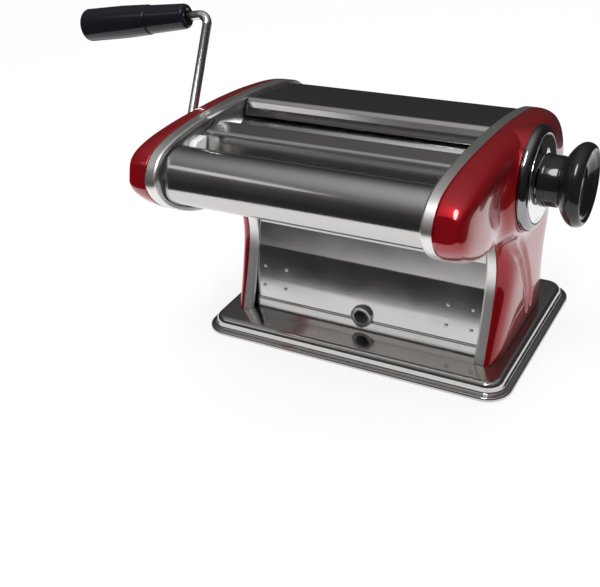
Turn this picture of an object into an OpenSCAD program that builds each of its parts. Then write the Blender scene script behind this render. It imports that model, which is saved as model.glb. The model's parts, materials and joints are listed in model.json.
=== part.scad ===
// Hand-cranked pasta machine: sheet rollers, ribbon cutters and side casings on a pressed base.
// Axes: +X to the gap dial, -X to the crank, -Y to the cutters, +Z up.
// The origin is on the floor, at the centre of the base plate.

/* [Base] */
// Width of the base beyond the foot of each side cover
base_side = 12.7; // [11:0.1:24]
// Depth of the base plate over its lip
base_d = 135; // [130:1:170]
// Height of the deck above the floor
base_h = 10; // [9:0.5:16]
// Radius of the lip at the plate's corners
base_corner_r = 15; // [12:0.5:22]
// Width of the low lip round the raised deck
lip_w = 4.5; // [3:0.5:7]
// Height of the lip
lip_h = 2.6; // [2:0.2:4]
// Radius of the shoulder between the deck and its skirt
shoulder_r = 4; // [2:0.25:5]
// Thickness of the base sheet
base_t = 1.4; // [1:0.1:2]
// Clear height under the lip, where the rubber feet show
foot_gap = 0.8; // [0.4:0.1:2]
// Radius of a rubber foot
foot_r = 8; // [6:0.5:10]
// Distance from the edge of the lip to the centre of a foot
foot_inset = 17; // [15:0.5:24]

/* [Side outline] */
// Clear width between the inner edges of the two side trims
throat_w = 152; // [130:1:180]
// Height of the sides' flat top above the roller axes
head_rise = 29; // [27:0.5:36]
// Height of the nose's tip above the roller axes
tip_rise = 12.5; // [10:0.5:15]
// Backward reach of the head
back_reach = 53; // [46:0.5:60]
// Depth of the throat's ceiling, where the leg begins, below the roller axes
throat_drop = 36.5; // [34:0.5:40]
// Distance of the leg's narrowest front edge in front of the base's centre
waist_front = 29; // [24:0.5:33]
// Distance of the leg's narrowest back edge behind the base's centre
waist_back = 43; // [32:0.5:46]
// Distance of the foot's toe in front of the base's centre
toe_reach = 47; // [40:0.5:50]
// Distance of the foot's heel behind the base's centre
heel_reach = 46; // [38:0.5:50]

/* [Side plates and trims] */
// Width of the bright trim band
trim_w = 6.3; // [5:0.1:9]
// Thickness of the trim's sheet
trim_t = 1.1; // [0.8:0.1:1.5]
// Depth of the trim's turned-in inner edge
trim_flange = 2.5; // [2:0.25:3]
// Thickness of a steel side plate
plate_t = 1.8; // [1.4:0.1:2.4]
// Clearance between parts that are fixed together
seat_gap = 0.05; // [0.02:0.01:0.15]
// Radial clearance of a running shaft in its bush
run_gap = 0.04; // [0.02:0.01:0.1]
// Clearance at the ends of what turns between the plates
end_gap = 0.6; // [0.4:0.1:1.5]

/* [Side covers] */
// Bulge of the cover over the head
cover_bulge = 16; // [12:0.5:17]
// Bulge of the cover over the top of the leg
leg_bulge = 10.5; // [8:0.5:13]
// Bulge of the cover at the foot
foot_bulge = 7; // [4:0.2:9]
// Wall of the cover
cover_t = 2.2; // [1.8:0.1:3]
// Radius of the raised seat round the dial
dial_seat_r = 30; // [28.5:0.25:33]
// Radius of the posts inside a cover
post_r = 3.6; // [3:0.1:5]

/* [Sheet rollers] */
// Radius of a sheet roller
roller_r = 14; // [12.5:0.25:14.5]
// Gap between the rollers at the finest turn of the eccentric
fine_gap = 0.25; // [0.2:0.05:0.6]
// Offset of the eccentric shaft's middle part
eccentric = 1.1; // [0.8:0.05:1.3]
// Height of the roller axes above the deck
axis_h = 112.5; // [104:0.5:124]
// Distance of the dial's axis in front of the base's centre
dial_reach = 24.5; // [23:0.5:27]
// Radius of the drive roller's journals
journal_r = 6; // [5:0.25:6.5]
// Radius of the eccentric shaft inside the roller
shaft_r = 5.5; // [5:0.25:6]
// Radius of the adjustable roller's bore
roller_bore_r = 8; // [7.5:0.1:8.5]
// Wall of the roller's neck, which carries its gear
neck_t = 1.2; // [1:0.1:1.6]
// Length of a bush in the adjustable roller
bush_len = 16; // [10:1:30]
// Wall of a plate bush
bush_t = 2.6; // [1.8:0.1:3]
// Radius added by a bush's flange
bush_flange = 1.8; // [1:0.1:2.5]
// Teeth on each roller gear
roller_teeth = 12; // [11:1:12]
// Reach of the long teeth past half the finest centre distance
tooth_reach = 3; // [2.6:0.1:3.2]
// Face width of the gears
gear_w = 5; // [3.5:0.25:5.5]

/* [Cutters] */
// Radius of the cutting rings
ring_r = 10.5; // [9.5:0.1:10.7]
// Depth of the grooves between the rings
groove_d = 2; // [1.5:0.1:2.5]
// Width of one ribbon
ribbon_w = 6.5; // [4:0.25:10]
// Side clearance of a ring in the other roll's groove
ring_gap = 0.3; // [0.2:0.05:0.5]
// Clearance between the drive roller and the rear cutter, along Y
cutter_clear = 1.95; // [1.5:0.05:3]
// Distance of the front cutter's axis behind the tip of the nose
cutter_inset = 23; // [22:0.25:24.5]
// Height of the front cutter's axis above the roller axes
cutter_rise = 5; // [4:0.25:6]
// Drop from the front cutter's axis to the rear one, in degrees
cutter_drop = 23.5; // [20:0.5:27]
// Radius of the cutters' journals
cutter_journal_r = 4; // [3.5:0.1:4.5]
// Teeth on each cutter gear
cutter_teeth = 12; // [11:1:14]
// Thickness of a hopper cheek
cheek_t = 5; // [3.5:0.25:7]

/* [Covers between the sides] */
// Radius of the rolled front cover
bar_r = 16; // [15:0.25:17]
// Thickness of the covers' sheet
sheet_t = 1.3; // [1:0.1:1.6]
// Inset of the covers' sheet from the outline of the sides
sheet_inset = 2; // [1.6:0.1:3.5]
// Radius of a cross rod
rod_r = 3; // [2.5:0.1:3.5]
// Radius of a rivet's head
rivet_r = 1.6; // [1.2:0.1:2.2]
// Radius of the socket for the table clamp's pin
clamp_r = 4.6; // [4:0.1:6]

/* [Dial and knob] */
// Radius of the dial's bezel
bezel_r = 28.5; // [28:0.25:31]
// Thickness of the bezel
bezel_w = 5; // [3.5:0.25:6]
// Radius of the bright dial disc
disc_r = 23.5; // [22:0.25:25]
// Radius of the knob's skirt
skirt_r = 13.7; // [13.5:0.1:17]
// Radius of the knob's rim
knob_r = 22.25; // [21:0.25:27]
// Length of the knob from the skirt to its front edge
knob_len = 24.2; // [22:0.2:30]
// Radius of the spindle that the knob slides on
spindle_r = 5; // [4:0.1:5.3]
// Travel of the knob when it is pulled
knob_pull = 3.5; // [2:0.1:4]
// Number of gap settings
settings = 9; // [7:1:9]
// Angle between two settings, in degrees
setting_step = 20; // [15:1:20]

/* [Crank] */
// Radius of the crank's rod
crank_rod_r = 2.8; // [2.6:0.1:3.2]
// Radius of the crank's bends at the rod's centre
crank_bend_r = 6; // [5.5:0.25:8]
// Length of the arm between its two bends
arm_len = 82; // [70:1:110]
// Angle of the arm above the horizontal, in degrees
arm_angle = 56; // [40:1:80]
// Outward lean of the arm, in degrees
arm_lean = 3; // [2:0.5:8]
// Tilt of the grip towards the shaft, in degrees
grip_tilt = 8.5; // [0:0.5:12]
// Length of the grip
grip_len = 76; // [60:1:90]
// Largest radius of the grip
grip_r = 10; // [9:0.25:13]
// Depth of the crank's socket in the drive shaft
socket_len = 14; // [10:0.5:15]

/* [Hidden] */

$fn = 64;
half_w = throat_w / 2;
plate_in = half_w + trim_t;
plate_out = plate_in + plate_t;
cover_in = half_w + trim_w;
base_w = 2 * (cover_in + foot_bulge + base_side);
side_top = axis_h + head_rise;
nose_h = axis_h + tip_rise;
throat_h = axis_h - throat_drop;

// Shaft centres as [y, height above the deck]
dial_c = [-dial_reach, axis_h];
closed_span = 2 * roller_r + fine_gap;
drive_c = [-dial_reach - eccentric - closed_span, axis_h];
roller_c = [-dial_reach + eccentric, axis_h];
core_r = ring_r - groove_d;
cutter_span = ring_r + core_r + ring_gap;
rear_step = cutter_span * [cos(cutter_drop), -sin(cutter_drop)];
front_c = [drive_c[0] - roller_r - ring_r - cutter_clear - rear_step[0], axis_h + cutter_rise];
rear_c = front_c + rear_step;
nose_reach = cutter_inset - front_c[0];
bar_c = front_c + [-1, 2.5];

// Outline of a side: the upper edge runs from the nose over the back to the heel,
// the lower edge from the nose along the chin and the throat to the toe.
nose = [-nose_reach, nose_h];
throat_y = -waist_front - 8.5;
chin_run = throat_y + nose_reach;
chin_drop = nose_h - throat_h;
upper_edge = [nose,
    nose + [8, 0.64 * (side_top - nose_h)],
    [nose[0] + 23, side_top - 1.5],
    [nose[0] + 46, side_top],
    [nose[0] + 71, side_top - 0.5],
    [nose[0] + 96, side_top - 2],
    [0, side_top - 5],
    [back_reach - 28, side_top - 10],
    [back_reach - 12, side_top - 17.5],
    [back_reach - 2, side_top - 31.5],
    [back_reach, side_top - 47.5],
    [back_reach - 4, side_top - 65.5],
    [waist_back + 3, side_top - 83.5],
    [waist_back, side_top - 101.5],
    [lerp(waist_back, heel_reach, 0.2), 20],
    [heel_reach, 0]];
lower_edge = [nose,
    nose + [0.02 * chin_run, -0.19 * chin_drop],
    nose + [0.1 * chin_run, -0.37 * chin_drop],
    nose + [0.22 * chin_run, -0.52 * chin_drop],
    nose + [0.36 * chin_run, -0.645 * chin_drop],
    nose + [0.5 * chin_run, -0.73 * chin_drop],
    nose + [0.645 * chin_run, -0.79 * chin_drop],
    nose + [0.78 * chin_run, -0.84 * chin_drop],
    nose + [0.9 * chin_run, -0.9 * chin_drop],
    [throat_y, throat_h],
    [-waist_front - 2.5, throat_h - 9.5],
    [-waist_front, throat_h - 20.5],
    [-waist_front - 1, throat_h - 32.5],
    [lerp(-waist_front, -toe_reach, 0.3), 30],
    [lerp(-waist_front, -toe_reach, 0.65), 14],
    [-toe_reach, 0]];

function lerp(a, b, t) = a + (b - a) * t;
function smooth(t) = let (c = min(max(t, 0), 1)) c * c * (3 - 2 * c);
function spline(a, b, c, d, t) =
    0.5 * (2 * b + (c - a) * t + (2 * a - 5 * b + 4 * c - d) * t * t + (3 * b - a - 3 * c + d) * t * t * t);
// Point of an edge at u from 0 at the nose to 1 at the foot; other is the opposite edge,
// which carries the curve on round the nose.
function edge_at(edge, other, u) =
    let (last = len(edge) - 1, s = min(max(u, 0), 1) * last, i = min(floor(s), last - 1))
    spline(i == 0 ? other[1] : edge[i - 1], edge[i], edge[i + 1], edge[min(i + 2, last)], s - i);
function upper_at(u) = edge_at(upper_edge, lower_edge, u);
function lower_at(u) = edge_at(lower_edge, upper_edge, u);
function left_normal(d) = [-d[1], d[0]] / norm(d);
// The same points, moved inside the outline by the distance inset
function upper_in(u, inset) = upper_at(u) + inset * left_normal(upper_at(u - 0.004) - upper_at(u + 0.004));
function lower_in(u, inset) = lower_at(u) + inset * left_normal(lower_at(u + 0.004) - lower_at(u - 0.004));
edge_steps = 48;
// Closed outline of a side, moved in by inset; it ends at the height floor_h above the deck
function side_outline(inset, floor_h = 0) = concat(
    [for (i = [0 : edge_steps - 1]) let (p = upper_in(i / edge_steps, inset))
        if (p[1] > floor_h + 0.5) p],
    [[heel_reach - inset, floor_h], [-toe_reach + inset, floor_h]],
    [for (i = [edge_steps - 1 : -1 : 1]) let (p = lower_in(i / edge_steps, inset))
        if (p[1] > floor_h + 0.5) p]);
// Strip of sheet that follows one edge from u0 to u1
function upper_strip(u0, u1, n) = concat(
    [for (i = [0 : n]) upper_in(lerp(u0, u1, i / n), sheet_inset)],
    [for (i = [n : -1 : 0]) upper_in(lerp(u0, u1, i / n), sheet_inset + sheet_t)]);
function lower_strip(u0, u1, n) = concat(
    [for (i = [0 : n]) lower_in(lerp(u0, u1, i / n), sheet_inset)],
    [for (i = [n : -1 : 0]) lower_in(lerp(u0, u1, i / n), sheet_inset + sheet_t)]);

// ---- Places along X, all on the right-hand side; the left is their mirror image ----
panel_x = half_w - seat_gap;
fit_x = plate_in - seat_gap;
bush_head = 1;
gear_x0 = plate_out + bush_head + 0.3;
gear_x1 = gear_x0 + gear_w;
dial_seat_h = 17.2;
housing_x0 = gear_x1 + 2.4;
bezel_x0 = cover_in + dial_seat_h;
bezel_x1 = bezel_x0 + bezel_w;
disc_t = 1.8;
disc_x0 = bezel_x1 + 0.2 - disc_t;
knob_x0 = disc_x0 + disc_t + 0.5;
knob_x1 = knob_x0 + knob_len;
mouth_x = cover_in + 15.2;
roller_x = plate_in - end_gap;
cheek_x = fit_x - cheek_t;
cutter_x = cheek_x - end_gap;

// ---- Helpers ----
// Extrudes a side view, drawn as [y, height above the deck], from x0 to x1
module across(x0, x1) {
    translate([x0, 0, base_h]) rotate([90, 0, 90]) linear_extrude(x1 - x0) children();
}
// Round bar along X about the point c of the side view
module bar(c, r, x0, x1, sides = 0) {
    translate([x0, c[0], base_h + c[1]]) rotate([0, 90, 0])
        cylinder(r = r, h = x1 - x0, $fn = sides > 0 ? sides : $fn);
}
module tube(c, r_in, r_out, x0, x1) {
    difference() {
        bar(c, r_out, x0, x1);
        bar(c, r_in, x0 - 1, x1 + 1);
    }
}
module left_side() {
    mirror([1, 0, 0]) children();
}
module both_sides() {
    children();
    left_side() children();
}
function unit_normal(p, i) = left_normal(p[min(i + 1, len(p) - 1)] - p[max(i - 1, 0)]);
// Outline of a bent sheet whose one face follows the points p; t > 0 thickens it to the left
function sheet(p, t) = concat(p, [for (i = [len(p) - 1 : -1 : 0]) p[i] + t * unit_normal(p, i)]);
// Rounded rectangle
module round_rect(w, d, r, h) {
    linear_extrude(h) union() {
        square([w - 2 * r, d], center = true);
        square([w, d - 2 * r], center = true);
        for (x = [-1, 1], y = [-1, 1]) translate([x * (w / 2 - r), y * (d / 2 - r)]) circle(r);
    }
}
// Sweeps a profile, drawn as [distance out from the corner's centre, height], round a rectangle
module rim_sweep(w, d, r) {
    for (x = [-1, 1], y = [-1, 1]) translate([x * (w / 2 - r), y * (d / 2 - r), 0])
        rotate([0, 0, x > 0 ? (y > 0 ? 0 : 270) : (y > 0 ? 90 : 180)]) rotate_extrude(angle = 90) children();
    for (y = [-1, 1]) translate([-(w / 2 - r) * y, y * (d / 2 - r), 0])
        rotate([90, 0, 90 * y]) linear_extrude(w - 2 * r) children();
    for (x = [-1, 1]) translate([x * (w / 2 - r), (d / 2 - r) * x, 0])
        rotate([90, 0, x > 0 ? 0 : 180]) linear_extrude(d - 2 * r) children();
}

// ---- Base ----
deck_w = base_w - 2 * lip_w;
deck_d = base_d - 2 * lip_w;
deck_r = base_corner_r - lip_w;
module base_solid() {
    top_w = deck_w - 2 * shoulder_r;
    top_d = deck_d - 2 * shoulder_r;
    translate([0, 0, foot_gap]) {
        round_rect(base_w, base_d, base_corner_r, lip_h);
        round_rect(deck_w, deck_d, deck_r, base_h - shoulder_r - foot_gap);
        round_rect(top_w, top_d, deck_r - shoulder_r, base_h - foot_gap);
    }
    rim_sweep(deck_w, deck_d, deck_r) translate([0, base_h - shoulder_r]) shoulder(shoulder_r);
}
// Quarter of a circle that rounds the deck's edge
module shoulder(r) {
    intersection() {
        translate([deck_r - shoulder_r, 0]) circle(r);
        translate([deck_r - shoulder_r - 0.01, 0]) square(r + 1);
    }
}
screw_r = 2;
screw_head_r = 3.6;
screw_head_h = 1.4;
bracket_y = [-16, 16];
bracket_screw_x = 62;
module base_plate() {
    color("silver") difference() {
        base_solid();
        translate([0, 0, -foot_gap]) base_hollow();
        for (x = [-1, 1], y = bracket_y) translate([x * bracket_screw_x, y, 0])
            cylinder(r = screw_r + seat_gap, h = base_h + 1);
    }
}
module base_hollow() {
    cavity_w = deck_w - 2 * base_t;
    cavity_d = deck_d - 2 * base_t;
    round_rect(cavity_w, cavity_d, deck_r - base_t, base_h - shoulder_r + foot_gap);
    top_w = cavity_w - 2 * shoulder_r;
    top_d = cavity_d - 2 * shoulder_r;
    round_rect(top_w, top_d, deck_r - base_t - shoulder_r + 1, base_h - base_t + foot_gap);
}
// One foot in each corner, and one under the middle of the tray
module rubber_foot() {
    cylinder(r = foot_r, h = 3);
    cylinder(r = foot_r - 2.5, h = base_h - base_t);
}
module rubber_feet() {
    color("#222222") {
        rubber_foot();
        for (x = [-1, 1], y = [-1, 1])
            translate([x * (base_w / 2 - foot_inset), y * (base_d / 2 - foot_inset), 0]) rubber_foot();
    }
}
module base_screws() {
    head_z = base_h - base_t - screw_head_h;
    color("gainsboro") for (x = [-1, 1], y = bracket_y) translate([x * bracket_screw_x, y, head_z]) {
        cylinder(r = screw_head_r, h = screw_head_h);
        cylinder(r = screw_r, h = screw_head_h + base_t + 5);
    }
}
bracket_t = 2;
bracket_h = 16;
bracket_len = 46;
module foot_bracket() {
    flat_x = bracket_screw_x - 7;
    wall_x = half_w - seat_gap;
    difference() {
        union() {
            translate([flat_x, -bracket_len / 2, base_h])
                cube([wall_x - flat_x, bracket_len, bracket_t]);
            translate([wall_x - bracket_t, -bracket_len / 2, base_h])
                cube([bracket_t, bracket_len, bracket_h]);
            for (y = bracket_y) translate([bracket_screw_x, y, base_h + bracket_t])
                cylinder(r = 3.8, h = 3, $fn = 6);
        }
        for (y = bracket_y) translate([bracket_screw_x, y, base_h - 1])
            cylinder(r = screw_r + seat_gap, h = 12);
    }
}
module foot_brackets() {
    color("silver") both_sides() foot_bracket();
}

// ---- Side plates, trims and covers ----
rod_places = [dial_c + [38.5, -6.5], [2, 40], rear_c + [10.3, -14.8]];
drive_bush_r = journal_r + run_gap + bush_t;
cutter_bush_r = cutter_journal_r + run_gap + bush_t;
small_journal_r = shaft_r - eccentric - 0.4;
ecc_bush_r = small_journal_r + run_gap + bush_t;
neck_r = roller_bore_r + neck_t;
module plate_blank() {
    across(plate_in, plate_out) polygon(side_outline(trim_t + seat_gap, trim_t + seat_gap));
}
module plate_holes() {
    bar(drive_c, drive_bush_r + seat_gap, plate_in - 1, plate_out + 1);
    for (c = [front_c, rear_c]) bar(c, cutter_bush_r + seat_gap, plate_in - 1, plate_out + 1);
    for (c = rod_places) bar(c, rod_r + seat_gap, plate_in - 1, plate_out + 1);
    for (uv = post_places) bar(cover_spot(uv), cover_screw_r + seat_gap, plate_in - 1, plate_out + 1);
}
module right_side_plate() {
    color("lightgray") difference() {
        plate_blank();
        plate_holes();
        bar(dial_c, neck_r + eccentric + 0.6, plate_in - 1, plate_out + 1);
    }
}
module left_side_plate() {
    color("lightgray") left_side() difference() {
        plate_blank();
        plate_holes();
        bar(dial_c, ecc_bush_r + seat_gap, plate_in - 1, plate_out + 1);
    }
}
module side_trim() {
    across(half_w, cover_in) difference() {
        polygon(side_outline(0));
        polygon(side_outline(trim_t, trim_t));
    }
    across(half_w, plate_in) difference() {
        polygon(side_outline(trim_t / 2, trim_t / 2));
        polygon(side_outline(trim_flange, trim_flange));
    }
}
module right_side_trim() {
    color("white") side_trim();
}
module left_side_trim() {
    color("white") left_side() side_trim();
}

// The cover's surface runs from the upper edge (v = -1) to the lower edge (v = 1),
// and from the nose (u = 0) to the foot (u = 1). It is a rounded pillow over the outline.
edge_power = 6;
nose_u = 0.2;
valley_c = nose + [55, -27];
valley_r = 21;
valley_d = 4.5;
function pillow(v) = pow(1 - pow(abs(v), edge_power), 1 / 2.2);
function nose_rise(u) = u >= nose_u ? 1 : pow(1 - pow(1 - u / nose_u, 3), 1 / 2.2);
function dip(p) = valley_d * exp(-pow(norm(p - valley_c) / valley_r, 2));
function bulge_at(p) = lerp(foot_bulge, leg_bulge, min(p[1] / throat_h, 1))
    + (cover_bulge - leg_bulge) * smooth((p[1] - throat_h + 12) / 30) - dip(p);
cover_rows = 30;
cover_cols = 18;
first_u = pow(0.06, 1.5);
function cover_point(u, v, inset) =
    let (p = lerp(upper_in(u, inset), lower_in(u, inset), (v + 1) / 2),
        rise = u < first_u + 0.001 ? 0 : nose_rise(u))
    [cover_in + (bulge_at(p) - inset) * pillow(v) * rise, p[0], u == 1 ? 0 : p[1]];
function row_u(i) = pow(lerp(0.06, 1, i / cover_rows), 1.5);
function col_v(j) = sin(lerp(-80, 80, j / cover_cols)) / sin(80);
// Two triangles that fill the cell a, b, c, d, listed clockwise as seen from outside
function cell(a, b, c, d) = [[a, b, c], [a, c, d]];
module cover_shell() {
    w = cover_cols + 1;
    inner = (cover_rows + 1) * w;
    rows = [0 : cover_rows - 1];
    cols = [0 : cover_cols - 1];
    last = cover_rows * w;
    points = [for (inset = [0, cover_t], i = [0 : cover_rows], j = [0 : cover_cols])
        cover_point(row_u(i), col_v(j), inset)];
    outside = [for (i = rows, j = cols) let (a = i * w + j) each cell(a, a + w, a + w + 1, a + 1)];
    inside = [for (i = rows, j = cols) let (a = inner + i * w + j) each cell(a, a + 1, a + w + 1, a + w)];
    upper_rim = [for (i = rows) let (a = i * w) each cell(a, inner + a, inner + a + w, a + w)];
    lower_rim = [for (i = rows) let (a = i * w + cover_cols) each cell(a, a + w, inner + a + w, inner + a)];
    nose_rim = [for (j = cols) each cell(j, j + 1, inner + j + 1, inner + j)];
    foot_rim = [for (j = cols) let (a = last + j) each cell(a, inner + a, inner + a + 1, a + 1)];
    faces = concat(outside, inside, upper_rim, lower_rim, nose_rim, foot_rim);
    translate([0, 0, base_h]) polyhedron(points, faces);
}
// Posts inside a cover take its screws; each is placed as [u, v] on the cover's surface
post_places = [[0.24, -0.4], [0.47, -0.6], [0.9, 0]];
cover_screw_r = 1.6;
function cover_spot(uv) = let (q = cover_point(uv[0], uv[1], cover_t)) [q[1], q[2]];
function cover_depth(uv) = cover_point(uv[0], uv[1], cover_t)[0];
module cover_posts() {
    color("firebrick") both_sides() for (uv = post_places)
        tube(cover_spot(uv), cover_screw_r + seat_gap, post_r, plate_out, cover_depth(uv) - post_gap);
}
post_gap = 0.6;
escutcheon_t = 2.2;
housing_r = dial_seat_r - 4.3;
module right_side_cover() {
    color("firebrick") difference() {
        cover_shell();
        bar(dial_c, dial_seat_r + seat_gap, plate_out, bezel_x0 + 1);
    }
}
module dial_surround() {
    color("firebrick") tube(dial_c, housing_r + 0.3, dial_seat_r, bezel_x0 - 11, bezel_x0);
}
module left_side_cover() {
    color("firebrick") left_side() difference() {
        cover_shell();
        bar(drive_c, journal_r + 0.8 + escutcheon_t + seat_gap, gear_x0 + 2, mouth_x + 2);
        bar(rear_c, cutter_journal_r + 0.8 + escutcheon_t + seat_gap, gear_x0 + 2, mouth_x + 2);
    }
}
module cover_screws() {
    color("gainsboro") both_sides() for (uv = post_places) {
        bar(cover_spot(uv), 2.8, plate_in - 1.6, plate_in);
        bar(cover_spot(uv), cover_screw_r, plate_in - 1, plate_out + 6);
    }
}
module escutcheon(c, shaft) {
    left_side() tube(c, shaft + 0.8, shaft + 0.8 + escutcheon_t, mouth_x - 9, mouth_x - 0.8);
}
module crank_escutcheon() {
    color("#1a1a1a") escutcheon(drive_c, journal_r);
}
module cutter_escutcheon() {
    color("#1a1a1a") escutcheon(rear_c, cutter_journal_r);
}
rod_end = 4.5;
module cross_rods() {
    color("silver") for (c = rod_places) bar(c, rod_r, -plate_out - rod_end, plate_out + rod_end);
}
module cross_rod_nuts() {
    color("gainsboro") both_sides() for (c = rod_places) difference() {
        bar(c, rod_r + 2.3, plate_out, plate_out + 3, 6);
        bar(c, rod_r + seat_gap, plate_out - 1, plate_out + 4);
    }
}

// ---- Covers and panels between the sides ----
function arc(c, r, a0, a1, n) = [for (i = [0 : n]) let (a = lerp(a0, a1, i / n)) c + r * [cos(a), sin(a)]];
module front_bar_cover() {
    lip_top = bar_c + bar_r * [cos(48), sin(48)];
    path = concat(arc(bar_c, bar_r, 245, 48, 40), [lip_top + [0.5, -1.5], lip_top + [0.3, -5.5]]);
    color("silver") across(-fit_x, fit_x) polygon(sheet(path, -sheet_t));
}
center_front = rear_c[0] + 7.2;
center_back = drive_c[0] - 3.8;
center_top = axis_h + roller_r + 10.4;
module center_cover() {
    path = [[center_back, center_top - 6.5], [center_back, center_top - 2.2],
        [center_back - 0.8, center_top - 0.6], [center_back - 2.4, center_top],
        [center_front + 2, center_top - 1.1], [center_front + 0.6, center_top - 1.7],
        [center_front - 0.2, center_top - 3], [center_front - 3.4, center_top - 15]];
    color("silver") across(-fit_x, fit_x) polygon(sheet(path, sheet_t));
}
guide_u = 5.1 / 15;
split_u = 0.8;
module rear_cover() {
    crest = upper_in(guide_u, sheet_inset);
    lip = [crest + [-6, -9], crest + [-4.6, -4.6], crest + [-2.4, -1.4]];
    path = concat(lip, [for (i = [0 : 24]) upper_in(lerp(guide_u, split_u, i / 24), sheet_inset)]);
    color("silver") across(-panel_x, panel_x) polygon(sheet(path, -sheet_t));
}
// Cuts a side view off level with the deck
module on_deck() {
    difference() {
        children();
        translate([-base_d, -base_h]) square([2 * base_d, base_h]);
    }
}
module leg_back_panel() {
    path = [for (i = [0 : 10]) let (p = upper_in(lerp(split_u + 0.004, 1, i / 10), sheet_inset))
        i < 10 ? p : [p[0], 0]];
    color("silver") across(-panel_x, panel_x) on_deck() polygon(sheet(path, -sheet_t));
}
module under_cover() {
    path = [for (i = [0 : 10]) lower_in(lerp(0.287, 0.497, i / 10), sheet_inset)];
    color("silver") across(-panel_x, panel_x) polygon(sheet(path, sheet_t));
}
panel_foot = [-toe_reach + 6.5, 0];
panel_fold = [-waist_front + 1.2, throat_h - 31];
panel_path = [panel_foot, panel_fold, panel_fold + [0.4, 1.5], [-waist_front + 3, throat_h - 20],
    [-waist_front - 1, throat_h + 2]];
clamp_h = 9;
clamp_wall = 2.4;
clamp_len = 34;
function panel_y(h) = lerp(panel_foot[0], panel_fold[0], h / panel_fold[1]);
module leg_front_panel() {
    color("silver") difference() {
        across(-panel_x, panel_x) on_deck() polygon(sheet(panel_path, -sheet_t));
        translate([0, -toe_reach - 5, base_h + clamp_h]) rotate([-90, 0, 0])
            cylinder(r = clamp_r + clamp_wall + seat_gap, h = clamp_len - 4);
    }
}
rivet_x = [54, 70];
rivet_h = [12.5, 27.5];
rivet_t = 0.7;
panel_slope = atan2(panel_fold[0] - panel_foot[0], panel_fold[1]);
module panel_rivets() {
    color("gainsboro") for (s = [-1, 1], x = rivet_x, h = rivet_h)
        translate([s * x, panel_y(h), base_h + h]) rotate([90 - panel_slope, 0, 0])
            cylinder(r = rivet_r, h = rivet_t);
}
module clamp_socket() {
    mouth_y = panel_y(clamp_h) - 1.5;
    color("dimgray") translate([0, mouth_y, base_h + clamp_h]) rotate([-90, 0, 0]) difference() {
        cylinder(r = clamp_r + clamp_wall, h = clamp_len);
        translate([0, 0, -1]) cylinder(r = clamp_r, h = clamp_len - 3);
    }
}

// ---- Rollers, cutters and what they run in ----
module flanged_bush(c, r_in, r_out) {
    difference() {
        union() {
            bar(c, r_out, plate_in, plate_out + bush_head);
            bar(c, r_out + bush_flange, plate_out, plate_out + bush_head);
        }
        bar(c, r_in, plate_in - 1, plate_out + bush_head + 1);
    }
}
module drive_bushes() {
    color("tan") both_sides() flanged_bush(drive_c, journal_r + run_gap, drive_bush_r);
}
module cutter_bushes() {
    color("tan") both_sides() for (c = [front_c, rear_c])
        flanged_bush(c, cutter_journal_r + run_gap, cutter_bush_r);
}
module eccentric_bush() {
    color("tan") left_side() flanged_bush(dial_c, small_journal_r + run_gap, ecc_bush_r);
}
// Gear with straight-sided teeth; half is a list of [radius, half width] from the root to the tip
function turn(p, a) = [p[0] * cos(a) - p[1] * sin(a), p[0] * sin(a) + p[1] * cos(a)];
module gear(c, teeth, half, bore_r, phase) {
    flank = [for (p = half) [p[0], -p[1]]];
    tooth = concat(flank, [for (i = [len(half) - 1 : -1 : 0]) half[i]]);
    outline = [for (i = [0 : teeth - 1], q = tooth) c + turn(q, i * 360 / teeth + phase)];
    difference() {
        across(gear_x0, gear_x1) polygon(outline);
        bar(c, bore_r, gear_x0 - 1, gear_x1 + 1);
    }
}
roller_tip_r = closed_span / 2 + tooth_reach;
roller_root_r = closed_span - roller_tip_r - 0.35;
// Turns the drive gear so that its teeth stay clear while the eccentric lifts the other roller
mesh_lead = asin(0.5 * eccentric / (closed_span / 2));
fix_gap = 0.02;
module roller_gear(c, bore_r, phase) {
    half = [[roller_root_r, 1.85], [closed_span / 2, 1.2], [roller_tip_r, 0.5]];
    gear(c, roller_teeth, half, bore_r, phase);
}
module drive_roller() {
    color("silver") difference() {
        union() {
            bar(drive_c, roller_r, -roller_x, roller_x);
            bar(drive_c, journal_r, -mouth_x, gear_x1 + 1.6);
        }
        bar(drive_c, crank_rod_r + run_gap, -mouth_x - 1, -mouth_x + socket_len);
        translate([-mouth_x - 1, drive_c[0] - pin_r - 0.1, base_h + drive_c[1] - journal_r - 1])
            cube([pin_depth + pin_r + 1.2, 2 * pin_r + 0.2, 2 * journal_r + 2]);
    }
}
pin_r = 1.2;
pin_depth = 5;
module drive_gear() {
    color("goldenrod") roller_gear(drive_c, journal_r + fix_gap, mesh_lead);
}
module drive_gear_clip() {
    color("dimgray") tube(drive_c, journal_r + fix_gap, journal_r + 2.4, gear_x1 + 0.1, gear_x1 + 0.9);
}
module adjustable_roller() {
    color("silver") difference() {
        union() {
            bar(roller_c, roller_r, -roller_x, roller_x);
            bar(roller_c, neck_r, roller_x - 1, gear_x1);
        }
        bar(roller_c, roller_bore_r, -roller_x - 1, gear_x1 + 1);
    }
}
module adjustable_gear() {
    color("goldenrod") roller_gear(roller_c, neck_r + fix_gap, 180 + 180 / roller_teeth);
}
module roller_bushes() {
    color("tan") for (x = [-roller_x + 1, roller_x - 1 - bush_len])
        tube(roller_c, shaft_r + run_gap, roller_bore_r - run_gap, x, x + bush_len);
}
thrust_r = shaft_r + eccentric + 0.4;
spindle_end = knob_x0 + 16.7;
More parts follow.
